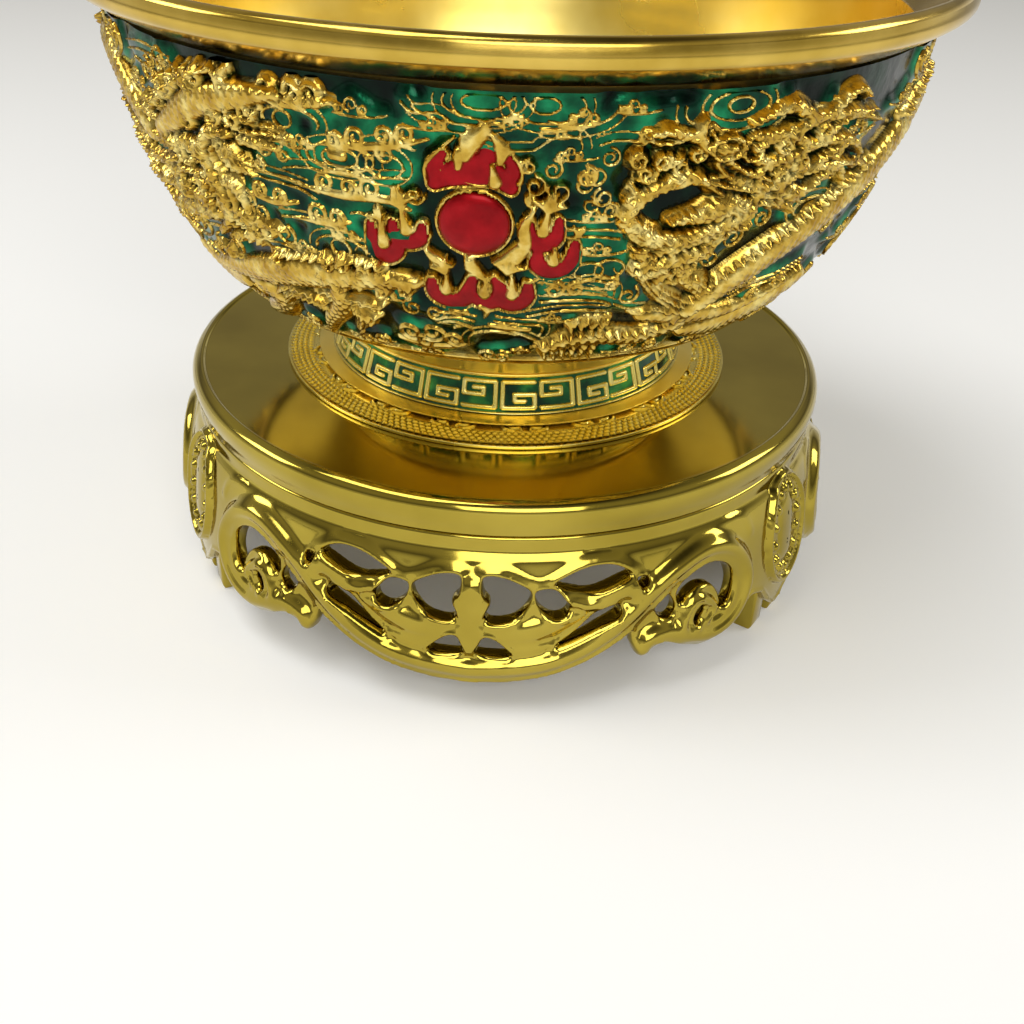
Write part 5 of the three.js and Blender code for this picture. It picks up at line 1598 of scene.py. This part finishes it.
# Dragon left of the pearl: head, mane, forelegs, body and tail
LEFT_DRAGON = [
    thick((0.9, 1.1, 1.2, 1.1, 1.0, 0.9), 2.0, (-31.6, 51.8), (-35, 51.4), (-37, 49), (-36.6, 46),
        (-35.2, 43), (-36, 39.6), (-39, 37)),
    thick((0.35, 0.4, 0.35), 2.0, (-34, 50.6), (-35.4, 48.4), (-34.2, 45.4), (-33.8, 42.4),
        (-34.6, 39.4)),
    thick((1.2, 2.4, 2.6, 1.6), 1.9, (-36.6, 46), (-40, 45.2), (-43.4, 44.6), (-46.6, 43),
        cut=Cut.GROOVED),
    ring(-38.4, 43.9, 1.6, 1.5, 0.4, 2.3), thick((0.9, 0.9), 2.3, (-38.6, 44), (-38.2, 44)),
    ring(-41.6, 44, 2.6, 2.2, 0.4, 2.1),
    *[thick((0.9, 0.8, 0.5, 0.3), 1.7, (-44.6, 50.4 - 1.6 * i), (-50, 50.2 - 1.65 * i + 0.7 * (-1)
        ** i), (-55, 51.6 - 1.75 * i - 0.6 * (-1) ** i), (-59 - 2 * (i % 3), 53 - 1.8 * i)) for i in
        range(8)],
    thick((1.0, 1.8, 0.9), 1.8, (-38, 39.6), (-44, 38.6), (-51, 38)),
    thick((0.9, 1.6, 0.8), 1.8, (-37, 48.6), (-41, 48.6), (-46, 48)),
    *[curl(a, v, 1.2, f, s, 1.2, 0.5, 1.9) for a, v, f, s in ((-38.6, 48.4, 1, 0),
        (-36, 41.4, -1, 0), (-41.4, 41, 1, 60), (-44.6, 41.6, -1, 0), (-42.6, 47.4, 1, 0),
        (-39.6, 41.2, -1, 30))],
    thick((1.6, 2.2, 2.4, 2.2, 1.8, 1.0), 2.1, (-46, 49.6), (-42, 51.8), (-37, 54.6), (-32, 56),
        (-28, 57), (-24, 57.8), cut=Cut.SCALED),
    *tuft(-43, 54, 20, 3, 5, 26, 0.5, 1.9), *tuft(-38, 56.4, 30, 2.6, 5, 26, 0.5, 1.9),
    *tuft(-31.6, 57.6, 40, 2.4, 5, 28, 0.5, 1.8),
    *[curl(a, v, 1.2, f, s, 1.2, 0.45, 2.0) for a, v, f, s in ((-40.6, 56.4, 1, 0),
        (-35.2, 58, -1, 0), (-33.6, 53.4, 1, 60), (-30, 54, -1, 0), (-28, 55, 1, 90),
        (-38.4, 52, -1, 0), (-44.6, 53.2, 1, 0), (-47.6, 52.4, -1, 30), (-35.6, 55.8, 1, 200))],
    thick((0.5, 0.6, 0.5), 2.3, (-47, 52), (-42.6, 54.8), (-37, 57.8), (-32, 59.4), cut=Cut.BEADED),
    *[curl(a, v, 1.4, f, s, 1.2, 0.4, 1.4) for a, v, f, s in ((-24.6, 58.2, 1, 200),
        (-21.6, 58.4, -1, 200), (-18.8, 58.4, 1, 200), (-26.4, 56.6, -1, 0))],
    thick((0.8, 1.0, 0.5), 1.2, (-25, 57), (-20.4, 57.2), (-16, 57.8)),
    thick((1.2, 1.5, 1.2, 0.6), 1.7, (-31.6, 53), (-28, 52.6), (-25, 53), (-22.2, 52.8),
        cut=Cut.GROOVED),
    thick((0.9, 1.2, 0.5), 1.5, (-30, 51.4), (-27, 51.6), (-24.4, 51.2)),
    *tuft(-31, 50.6, 190, 3.2, 5, 24, 0.5, 1.8),
    *[thick((0.6, 0.8, 0.3), 1.7, (-34 + i, 50.6), (-33.4 + i, 48.6), (-31.6 + i, 47.2)) for i in
        (0, 1, 2, 3)],
    thick((0.9, 1.2, 0.7, 0.3), 1.7, (-34.6, 45.4), (-33, 44.8), (-31.8, 43), (-31.2, 40.8)),
    *[curl(a, v, r, f, s, 1.2, 0.45, 1.6) for a, v, r, f, s in ((-35.6, 39.4, 1.3, 1, 0),
        (-33.2, 39.8, 1.3, -1, 60), (-31, 39.6, 1.4, 1, 0), (-33.6, 37.6, 1.2, 1, 0),
        (-36, 37, 1.1, -1, 90), (-29, 39.4, 1.3, -1, 0))],
    *tuft(-32.4, 38.6, 170, 2.4, 5, 26, 0.45, 1.6),
    thick((0.8, 1.2, 1.0, 0.5), 1.6, (-36.6, 41.6), (-33, 41), (-30, 40.6), (-26.4, 40.2)),
    thick((1.0, 1.8, 2.5, 2.6, 2.4, 2.0, 1.2), 2.0, (-48, 28.6), (-42, 29.4), (-35, 30.8),
        (-27.4, 32.6), (-20, 34), (-14, 35), (-8.4, 35.4), cut=Cut.SCALED),
    thick((0.5, 0.55, 0.45), 2.2, (-30, 35.6), (-25, 36.6), (-19, 37.4), (-13, 37.6),
        cut=Cut.BEADED),
    *[curl(a, v, 1.1, f, s, 1.2, 0.4, 2.2) for a, v, f, s in ((-20.6, 36.4, 1, 0),
        (-18, 36.8, -1, 0), (-15.4, 36.4, 1, 60), (-12.6, 36, -1, 0), (-10, 34, 1, 0),
        (-22, 34, 1, 90), (-16.6, 34.2, -1, 30), (-13.4, 33.4, 1, 0), (-19.4, 33.2, -1, 90))],
    thick((0.3, 0.4, 0.3), 1.8, (-25, 30.5), (-19, 30.4), (-14, 30.2)),
    thick((0.3, 0.4, 0.3), 1.6, (-23, 29.4), (-18, 29.5), (-14.6, 29.6)),
    thick((0.9, 1.4, 1.2, 0.5), 1.8, (-32.8, 30), (-31, 31.8), (-29, 33.6), (-30, 34.6)),
    thick((0.5, 1.0, 1.1, 0.7), 1.7, (-34, 25.4), (-31.6, 27.6), (-28, 28), (-25, 26.6),
        cut=Cut.GROOVED),
    thick((0.4, 0.5, 0.4), 1.6, (-34.6, 27), (-31, 29.2), (-27, 29.2), (-24.4, 28)),
    thick((1.4, 1.9, 1.6, 0.9), 1.7, (-21, 31), (-21.6, 27.6), (-25.4, 23.6), (-27.4, 20.6),
        cut=Cut.SCALED),
    thick((0.9, 1.3, 0.6), 1.5, (-19.4, 28.6), (-18.6, 26), (-20.6, 23), cut=Cut.GROOVED),
    *tuft(-18.4, 27.4, 150, 2.6, 4, 26, 0.4, 1.4),
    thick((1.8, 2.4, 2.4, 1.8), 1.7, (-39, 28), (-36, 25), (-38, 21.6), (-44, 19), cut=Cut.SCALED),
    thick((1.4, 2.2, 1.8), 1.6, (-60, 27), (-52, 24), (-45, 25), cut=Cut.SCALED),
    *tuft(-41, 31.6, 20, 2.6, 4, 28, 0.5, 1.6),
    thick((2, 2.4, 2.8, 3, 3, 2.9, 2.8, 2.6, 2.3, 1.9, 1.3, 0.5), 2.0, (-50, 48), (-60, 54),
        (-68, 56), (-78, 50), (-88, 43), (-99, 46), (-110, 52), (-122, 50), (-132, 41), (-144, 34),
        (-156, 38), (-168, 47), cut=Cut.SCALED),
    thick((0.5, 0.6, 0.5, 0.3), 2.2, (-68, 59), (-80, 53), (-89, 46), (-99, 49), (-110, 55),
        (-123, 53), (-134, 43.6), cut=Cut.BEADED),
    thick((1.7, 1.9, 1.4, 0.4), 1.6, (-79, 48), (-72, 42), (-73, 36), (-67, 32), cut=Cut.SCALED),
    thick((1.5, 1.3, 0.4), 1.6, (-108, 50), (-116, 54), (-124, 56), cut=Cut.SCALED),
    *tuft(-67, 32, 170, 3, 4, 34, 0.5, 1.5), *tuft(-168, 47, 240, 4, 6, 22, 0.5, 1.4),
]
# Small clouds of (angle, length, size, flip) in the gaps of the front
FRONT_CLOUDS = (
    (-14, 57.2, 0.9, 1), (-5, 56.4, 0.7, -1), (11, 57.8, 0.8, -1), (10, 53.6, 0.7, 1),
    (16.4, 58.8, 0.7, 1), (-17, 41.4, 0.8, 1), (-24, 37.8, 0.8, -1), (14.5, 41.4, 0.8, 1),
    (13.4, 46, 0.7, -1), (10, 29.8, 0.7, 1), (-3, 30.6, 0.6, -1), (40, 32.6, 0.8, 1),
    (-21, 52.4, 0.7, -1), (-10, 42.2, 0.5, 1), (50, 53, 0.9, 1), (-13, 32, 0.7, 1),
    (13, 20.4, 0.8, 1), (-9, 19.6, 0.8, -1), (38, 19.8, 0.9, 1), (6, 21.8, 0.7, -1),
)
# Small clouds in staggered rows on the rest of the wall
BACK_CLOUDS = tuple(
    (
        (61 + 13 * column + 6.5 * (row % 2) + 2 * math.sin(5 * row + 3 * column) + 180) % 360 - 180,
        18.6 + 4.4 * row + math.sin(7 * column + row),
        1.25 + 0.25 * math.sin(3 * row + column),
        (row + column) % 2 * 2 - 1,
    )
    for row in range(10)
    for column in range(20)
)


@dataclass
class Bowl:
    """Bowl with a gilt wall, green enamel round its relief, a red pearl and a turned lip."""

    wall: Wall = field(default_factory=Wall)
    foot: FootRing = field(default_factory=FootRing)
    relief_low: float = 15.4
    relief_high: float = 60.3
    cell: float = 0.21
    pearl_angle: float = -0.5
    pearl_length: float = 44.5
    pearl_radius: float = 4.2
    pearl_rise: float = 1.2
    pearl_bezel: float = 0.62
    ledge_length: float = 16.2
    shell_low: float = 15.2
    shell_high: float = 60.7
    shown_from: float = -0.3
    middle_radius: float = 57.5

    def grid(self, ground: float) -> Relief:
        """Empty relief over the whole wall.

        Args:
            ground: Height that it starts with.

        Returns:
            Relief over angles and lengths up the wall.
        """
        lengths = np.arange(self.relief_low, self.relief_high, self.cell)
        count = int(2 * math.pi * self.middle_radius / self.cell)
        angles = np.linspace(-180, 180, count, endpoint=False)
        return Relief(angles, lengths, self.wall.at(lengths)[0], ground=ground)

    def gold(self) -> Relief:
        """Gilt relief: clouds, dragons and flames, with the red fills and the pearl's bed cut down.

        The dragons stand on wider flat ground. They are chased and then softened to 0.6 of their
        height and 0.4 of the mean round each point, and the fine lines are raised after that.

        Returns:
            Relief over angles and lengths up the wall.
        """
        relief = self.grid(-0.4)
        dragons = [*RIGHT_DRAGON, *LEFT_DRAGON]
        plain = [strand for strand in dragons if strand.cut is not Cut.SCALED]
        for strand in [*plain, *CLOUD_GOLD]:
            ground = tuple(width + 0.55 for width in strand.widths)
            relief.raise_strand(Strand(strand.path, ground, 0.4 * strand.rise, Cut.FLAT))
        for strand in plain:
            relief.raise_strand(strand)
        self.chase(relief)
        for strand in dragons:
            if strand.cut is Cut.SCALED:
                relief.raise_strand(strand)
        relief.height = 0.6 * relief.height + 0.4 * box_blur(relief.height, 1)
        for strand in self.clouds():
            relief.raise_strand(strand)
        for fill in RED_FILLS:
            rim = tuple(width + 0.42 for width in fill.widths)
            relief.raise_strand(Strand(fill.path, rim, 1.15, Cut.FLAT))
        for fill in RED_FILLS:
            relief.sink(fill, 0.2)
        for strand in FLAME_GOLD:
            relief.raise_strand(strand)
        dot = ((self.pearl_angle, self.pearl_length), (self.pearl_angle + 0.01, self.pearl_length))
        bezel = Strand(dot, (self.pearl_radius + self.pearl_bezel,) * 2, 1.5, Cut.FLAT)
        relief.raise_strand(bezel)
        relief.sink(Strand(dot, (self.pearl_radius + 0.1,) * 2), 0.1)
        ledge = [(angle, self.ledge_length) for angle in (-180, 0, 180)]
        relief.raise_strand(Strand(ledge, (1.3, 1.3), 0.7, curved=False))
        return relief

    @staticmethod
    def clouds() -> list[Strand]:
        """Lines of all the clouds, with a fainter line beside each long one.

        Returns:
            List of strands.
        """
        curled = [*FRONT_CLOUDS, *BACK_CLOUDS[1::3], *BACK_CLOUDS[2::3]]
        small = [strand for place in curled for strand in cloud(*place)]
        echoes = [
            Strand(beside(strand.path, 1.0, 0.98, 2 * len(strand.path)), (0.2, 0.22, 0.2), 1.35)
            for strand in SKY
            if np.ptp(np.asarray(strand.path, float)[:, 0]) > 4
        ]
        rings = [
            ring(angle, length, across, up)
            for angle, length, _, _ in BACK_CLOUDS[::3]
            for across, up in ((1.4, 0.8), (3.2, 1.9), (5.2, 2.7))
        ]
        return [*SKY, *CLOUD_GOLD, *echoes, *small, *rings]

    @staticmethod
    def chase(relief: Relief) -> None:
        """Small chased hollows in the high gold: 0.6 s (a b - 0.45).

        Here a and b are |sin| of warped waves round and up the wall, and s runs from 0 to 1 as the
        height goes from 0.6 to 1.2.

        Args:
            relief: Relief that is chased.
        """
        x = relief.angles[None] * math.radians(1) * relief.radii[:, None]
        y = relief.lengths[:, None]
        a = np.abs(np.sin(math.pi * (x / 1.25 + 0.55 * np.sin(2 * math.pi * y / 2.7))))
        b = np.abs(np.sin(math.pi * (y / 1.15 + 0.5 * np.sin(2 * math.pi * x / 3.1))))
        share = np.clip((relief.height - 0.6) / 0.6, 0, 1)
        relief.height += 0.6 * share * (a * b - 0.45)

    def surface(self, relief: Relief) -> tuple[np.ndarray, np.ndarray]:
        """Points of a relief on the wall, and the quads of its grid.

        Args:
            relief: Relief over angles and lengths up the wall.

        Returns:
            Points and quads.
        """
        radius, height = self.wall.at(relief.lengths[:, None], relief.height)
        points = polar(relief.angles[None], radius, height).reshape(-1, 3)
        return points, grid_faces(*relief.height.shape, wraps=True)[:, ::-1]

    def build_relief(self) -> None:
        """Make the gilt relief, cut by its angle into five pieces."""
        relief = self.gold()
        points, quads = self.surface(relief)
        normals = vertex_normals(points, quads)
        # Painted shade in the hollows of the relief
        painted_shade = relief.hollows().ravel()
        shown = (relief.height.ravel()[quads] > self.shown_from).any(1)
        quads = quads[shown]
        column = relief.angles[quads[:, 0] % len(relief.angles)]
        stretches = (
            ("pearl_flames", -15, 15, "pearl_mount"),
            ("dragon_right_head", 15, 98, "dragon_right"),
            ("dragon_right_tail", 98, 180, "dragon_right"),
            ("dragon_left_head", -98, -15, "dragon_left"),
            ("dragon_left_tail", -180, -98, "dragon_left"),
        )
        for name, low, high, node in stretches:
            inside = (column >= low) & (column < high)
            spots, ways, depth, faces = patch(points, normals, painted_shade, quads[inside])
            make_piece(
                name, spots, [faces], CAST_GILDING, "bowl", "gilt_metal", [node], ways, depth, None
            )

    def build_enamel(self) -> None:
        """Make the green enamel, which swells round the clouds' lines, with painted shade that is
        darkest between them.

        The painted shade is the greater of the hollows and of 0.92 (1 - h / 0.45) at a swell h.
        """
        lengths = np.linspace(self.relief_low, self.relief_high + 0.3, 110)
        angles = np.linspace(-180, 180, 880, endpoint=False)
        relief = Relief(angles, lengths, self.wall.at(lengths)[0], ground=0.0)
        for strand in self.clouds():
            swell = tuple(width + 0.8 for width in strand.widths)
            relief.raise_strand(Strand(strand.path, swell, 0.8))
        relief.height = box_blur(box_blur(relief.height, 1), 1)
        # Painted shade: darkest where the enamel's swell is low, between the lines
        low = 0.92 * (1 - np.clip(relief.height / 0.45, 0, 1))
        points, quads = self.surface(relief)
        make_piece(
            "wall_green_enamel", points, [quads], GREEN_ENAMEL, "bowl", "green_enamel",
            ["wall_enamel"], painted_shade=np.maximum(relief.hollows(), low).ravel(), sharp=None,
        )

    def build_red(self) -> None:
        """Make the red enamel between the flames, and the pearl as a dome h sqrt(1 - (d / r)2)."""
        fills = self.grid(-0.6)
        for fill in RED_FILLS:
            wider = tuple(width + 0.25 for width in fill.widths)
            fills.raise_strand(Strand(fill.path, wider, 0.72, Cut.FLAT))
        points, quads = self.surface(fills)
        quads = quads[(fills.height.ravel()[quads] > -0.5).any(1)]
        normals = vertex_normals(points, quads)
        points, normals, _, quads = patch(points, normals, np.zeros(len(points)), quads)
        look = (RED_ENAMEL, "bowl", "red_enamel")
        make_piece("flame_enamel", points, [quads], *look, normals=normals, sharp=None)
        shares = np.linspace(0, 1, 40) ** 0.6
        share, turn = np.meshgrid(shares, np.radians(np.arange(96) * 3.75), indexing="ij")
        reach = self.pearl_radius * share
        scale = math.radians(1) * float(self.wall.at(np.array(self.pearl_length))[0])
        angle = self.pearl_angle + reach * np.sin(turn) / scale
        length = self.pearl_length + reach * np.cos(turn)
        lift = 0.3 + self.pearl_rise * np.sqrt(np.clip(1 - share**2, 0, 1))
        radius, height = self.wall.at(length, lift)
        dome = polar(angle, radius, height).reshape(-1, 3)
        quads = grid_faces(*share.shape, wraps=True)
        make_piece("pearl_dome", dome, [quads], *look, ["pearl"], sharp=None)

    def build(self) -> None:
        """Make the foot, the shell, the enamel, the relief, the pearl and the lip."""
        self.foot.build()
        wall, low, high = self.wall, self.shell_low, self.shell_high
        under = np.concatenate([((0, 42.8), (28.6, 42.8)), wall.stretch(0.2, low, 0, 50)])
        outside = wall.stretch(low, high, -0.9, 60)
        inside = wall.stretch(5, high, -2.1, 70)[::-1]
        floor = curve_through(((33.2, 48.4), (29.5, 45.4), (26.5, 44.3), (22, 44), (10, 44)), 24)
        points, faces = lathe(np.concatenate([under, outside, inside, floor, ((0, 44),)]))
        make_piece(
            "bowl_spun_shell", points, faces, SPUN_GILDING, "bowl", "gilt_metal", ["bowl_shell"]
        )
        self.build_enamel()
        self.build_relief()
        self.build_red()
        outer = (
            (59.4, 92.2), (61.6, 93.35), (63.3, 94.35), (64.15, 95.1), (64.38, 96.1), (64.15, 97.35)
        )
        rim = curve_through(((63.9, 97.75), (63.4, 98.05), (62.9, 98.08), (62.6, 97.75)), 10)
        inner = curve_through(((62.4, 97.2), (60.4, 94.6), (58.2, 92.9), (57, 92.15)), 18)
        points, faces = lathe(np.concatenate([curve_through(outer, 30), rim, inner]))
        make_piece("turned_lip", points, faces, SATIN_GILDING, "bowl", "gilt_lip", ["lip_ring"])


# Studio


@dataclass(frozen=True)
class Studio:
    """Plain pale floor, soft lights and the camera at the photograph's place."""

    focal_pixels: float = 1192.6
    distance: float = 191.6
    height: float = 123.8
    bearing: float = 3.75
    yaw: float = -0.34
    pitch: float = 33.69
    roll: float = 1.97
    centre: tuple = (493.1, 524.5)
    floor_reach: float = 3.0
    sky: tuple = (
        (0.0, "#f2f2f0"), (0.12, "#c8c6c0"), (0.26, "#6f6c66"), (0.5, "#b4b0a4"), (0.72, "#a8a498"),
        (0.9, "#4a4844"),
    )
    boxes: tuple = (
        ("top_box", (-0.25, -0.15, 0.75), 0.5, 2.6),
        ("front_box", (0.15, -0.75, 0.5), 0.6, 3.0),
        ("right_box", (0.65, 0.1, 0.4), 0.3, 1.2),
        ("left_box", (-0.7, -0.05, 0.4), 0.3, 1.2),
    )

    def place_camera(self) -> None:
        """Put the camera at its measured place; its matrix has columns right, up and back."""
        yaw = math.radians(self.yaw - self.bearing)
        pitch = math.radians(self.pitch)
        roll = math.radians(self.roll)
        level = math.cos(pitch)
        ahead = Vector((math.sin(yaw) * level, math.cos(yaw) * level, -math.sin(pitch)))
        right = ahead.cross(Vector((0, 0, 1))).normalized()
        up = right.cross(ahead)
        rolled_right = right * math.cos(roll) + up * math.sin(roll)
        rolled_up = up * math.cos(roll) - right * math.sin(roll)
        data = bpy.data.cameras.new("photo_camera")
        data.sensor_width = SENSOR_WIDTH
        data.lens = self.focal_pixels / PHOTO_PIXELS * SENSOR_WIDTH
        data.shift_x = (PHOTO_PIXELS / 2 - self.centre[0]) / PHOTO_PIXELS
        data.shift_y = (self.centre[1] - PHOTO_PIXELS / 2) / PHOTO_PIXELS
        data.clip_start = 0.01
        camera = bpy.data.objects.new("photo_camera", data)
        spot = Vector(polar(self.bearing, self.distance, self.height) * MM)
        turn = Matrix((rolled_right, rolled_up, -ahead)).transposed().to_4x4()
        camera.matrix_world = Matrix.Translation(spot) @ turn
        bpy.context.scene.collection.objects.link(camera)
        bpy.context.scene.camera = camera

    def lay_floor(self) -> None:
        """Lay a flat matt floor that keeps the object's shadow and looks white to the camera."""
        mesh = bpy.data.meshes.new("floor")
        r = self.floor_reach
        mesh.from_pydata([(-r, -r, 0), (r, -r, 0), (r, r, 0), (-r, r, 0)], [], [(0, 1, 2, 3)])
        paper = bpy.data.materials.new("matt_paper")
        paper.use_nodes = True
        shader = paper.node_tree.nodes["Principled BSDF"]
        shader.inputs["Base Color"].default_value = linear("#fbfbfa")
        shader.inputs["Roughness"].default_value = 0.9
        tree = paper.node_tree
        rays = add_node(tree, "ShaderNodeLightPath", {}).outputs
        pair = {0: rays["Is Camera Ray"], 1: rays["Is Glossy Ray"]}
        seen = add_node(tree, "ShaderNodeMath", pair, operation="ADD").outputs[0]
        pair = {0: seen, 1: rays["Is Transmission Ray"]}
        seen = add_node(tree, "ShaderNodeMath", pair, operation="ADD").outputs[0]
        glow = add_node(tree, "ShaderNodeMath", {0: seen, 1: 0.05}, operation="MULTIPLY")
        shader.inputs["Emission Color"].default_value = (1, 1, 1, 1)
        tree.links.new(glow.outputs[0], shader.inputs["Emission Strength"])
        mesh.materials.append(paper)
        floor = bpy.data.objects.new("floor", mesh)
        bpy.context.scene.collection.objects.link(floor)

    def light(self) -> None:
        """Light with a pale horizon under a dimmer ceiling, and soft boxes above and beside."""
        world = bpy.data.worlds.new("studio")
        bpy.context.scene.world = world
        world.use_nodes = True
        tree = world.node_tree
        ground = tree.nodes["Background"]
        way = add_node(tree, "ShaderNodeTexCoord", {}).outputs["Generated"]
        up = add_node(tree, "ShaderNodeSeparateXYZ", {"Vector": way}).outputs["Z"]
        shade = add_node(tree, "ShaderNodeValToRGB", {"Fac": up}, self.sky).outputs["Color"]
        tree.links.new(shade, ground.inputs["Color"])
        ground.inputs["Strength"].default_value = 0.9
        for name, place, size, watts in self.boxes:
            data = bpy.data.lights.new(name, "AREA")
            data.shape = "RECTANGLE"
            data.size = size
            data.size_y = size * 0.7
            data.energy = watts
            lamp = bpy.data.objects.new(name, data)
            aim = Vector((0, 0, 0.05)) - Vector(place)
            turn = aim.to_track_quat("-Z", "Y").to_matrix().to_4x4()
            lamp.matrix_world = Matrix.Translation(Vector(place)) @ turn
            bpy.context.scene.collection.objects.link(lamp)

    def build(self) -> None:
        """Set up the whole studio."""
        bpy.context.scene.view_settings.view_transform = "Standard"
        self.place_camera()
        self.lay_floor()
        self.light()


def main() -> None:
    """Build the studio and the sub-assemblies in order."""
    logging.basicConfig(level=logging.INFO, format="%(name)s: %(message)s")
    for part in (Studio(), Stand(), Saucer(), Bowl()):
        LOG.info("building %s", type(part).__name__)
        part.build()


if __name__ == "__main__":
    main()
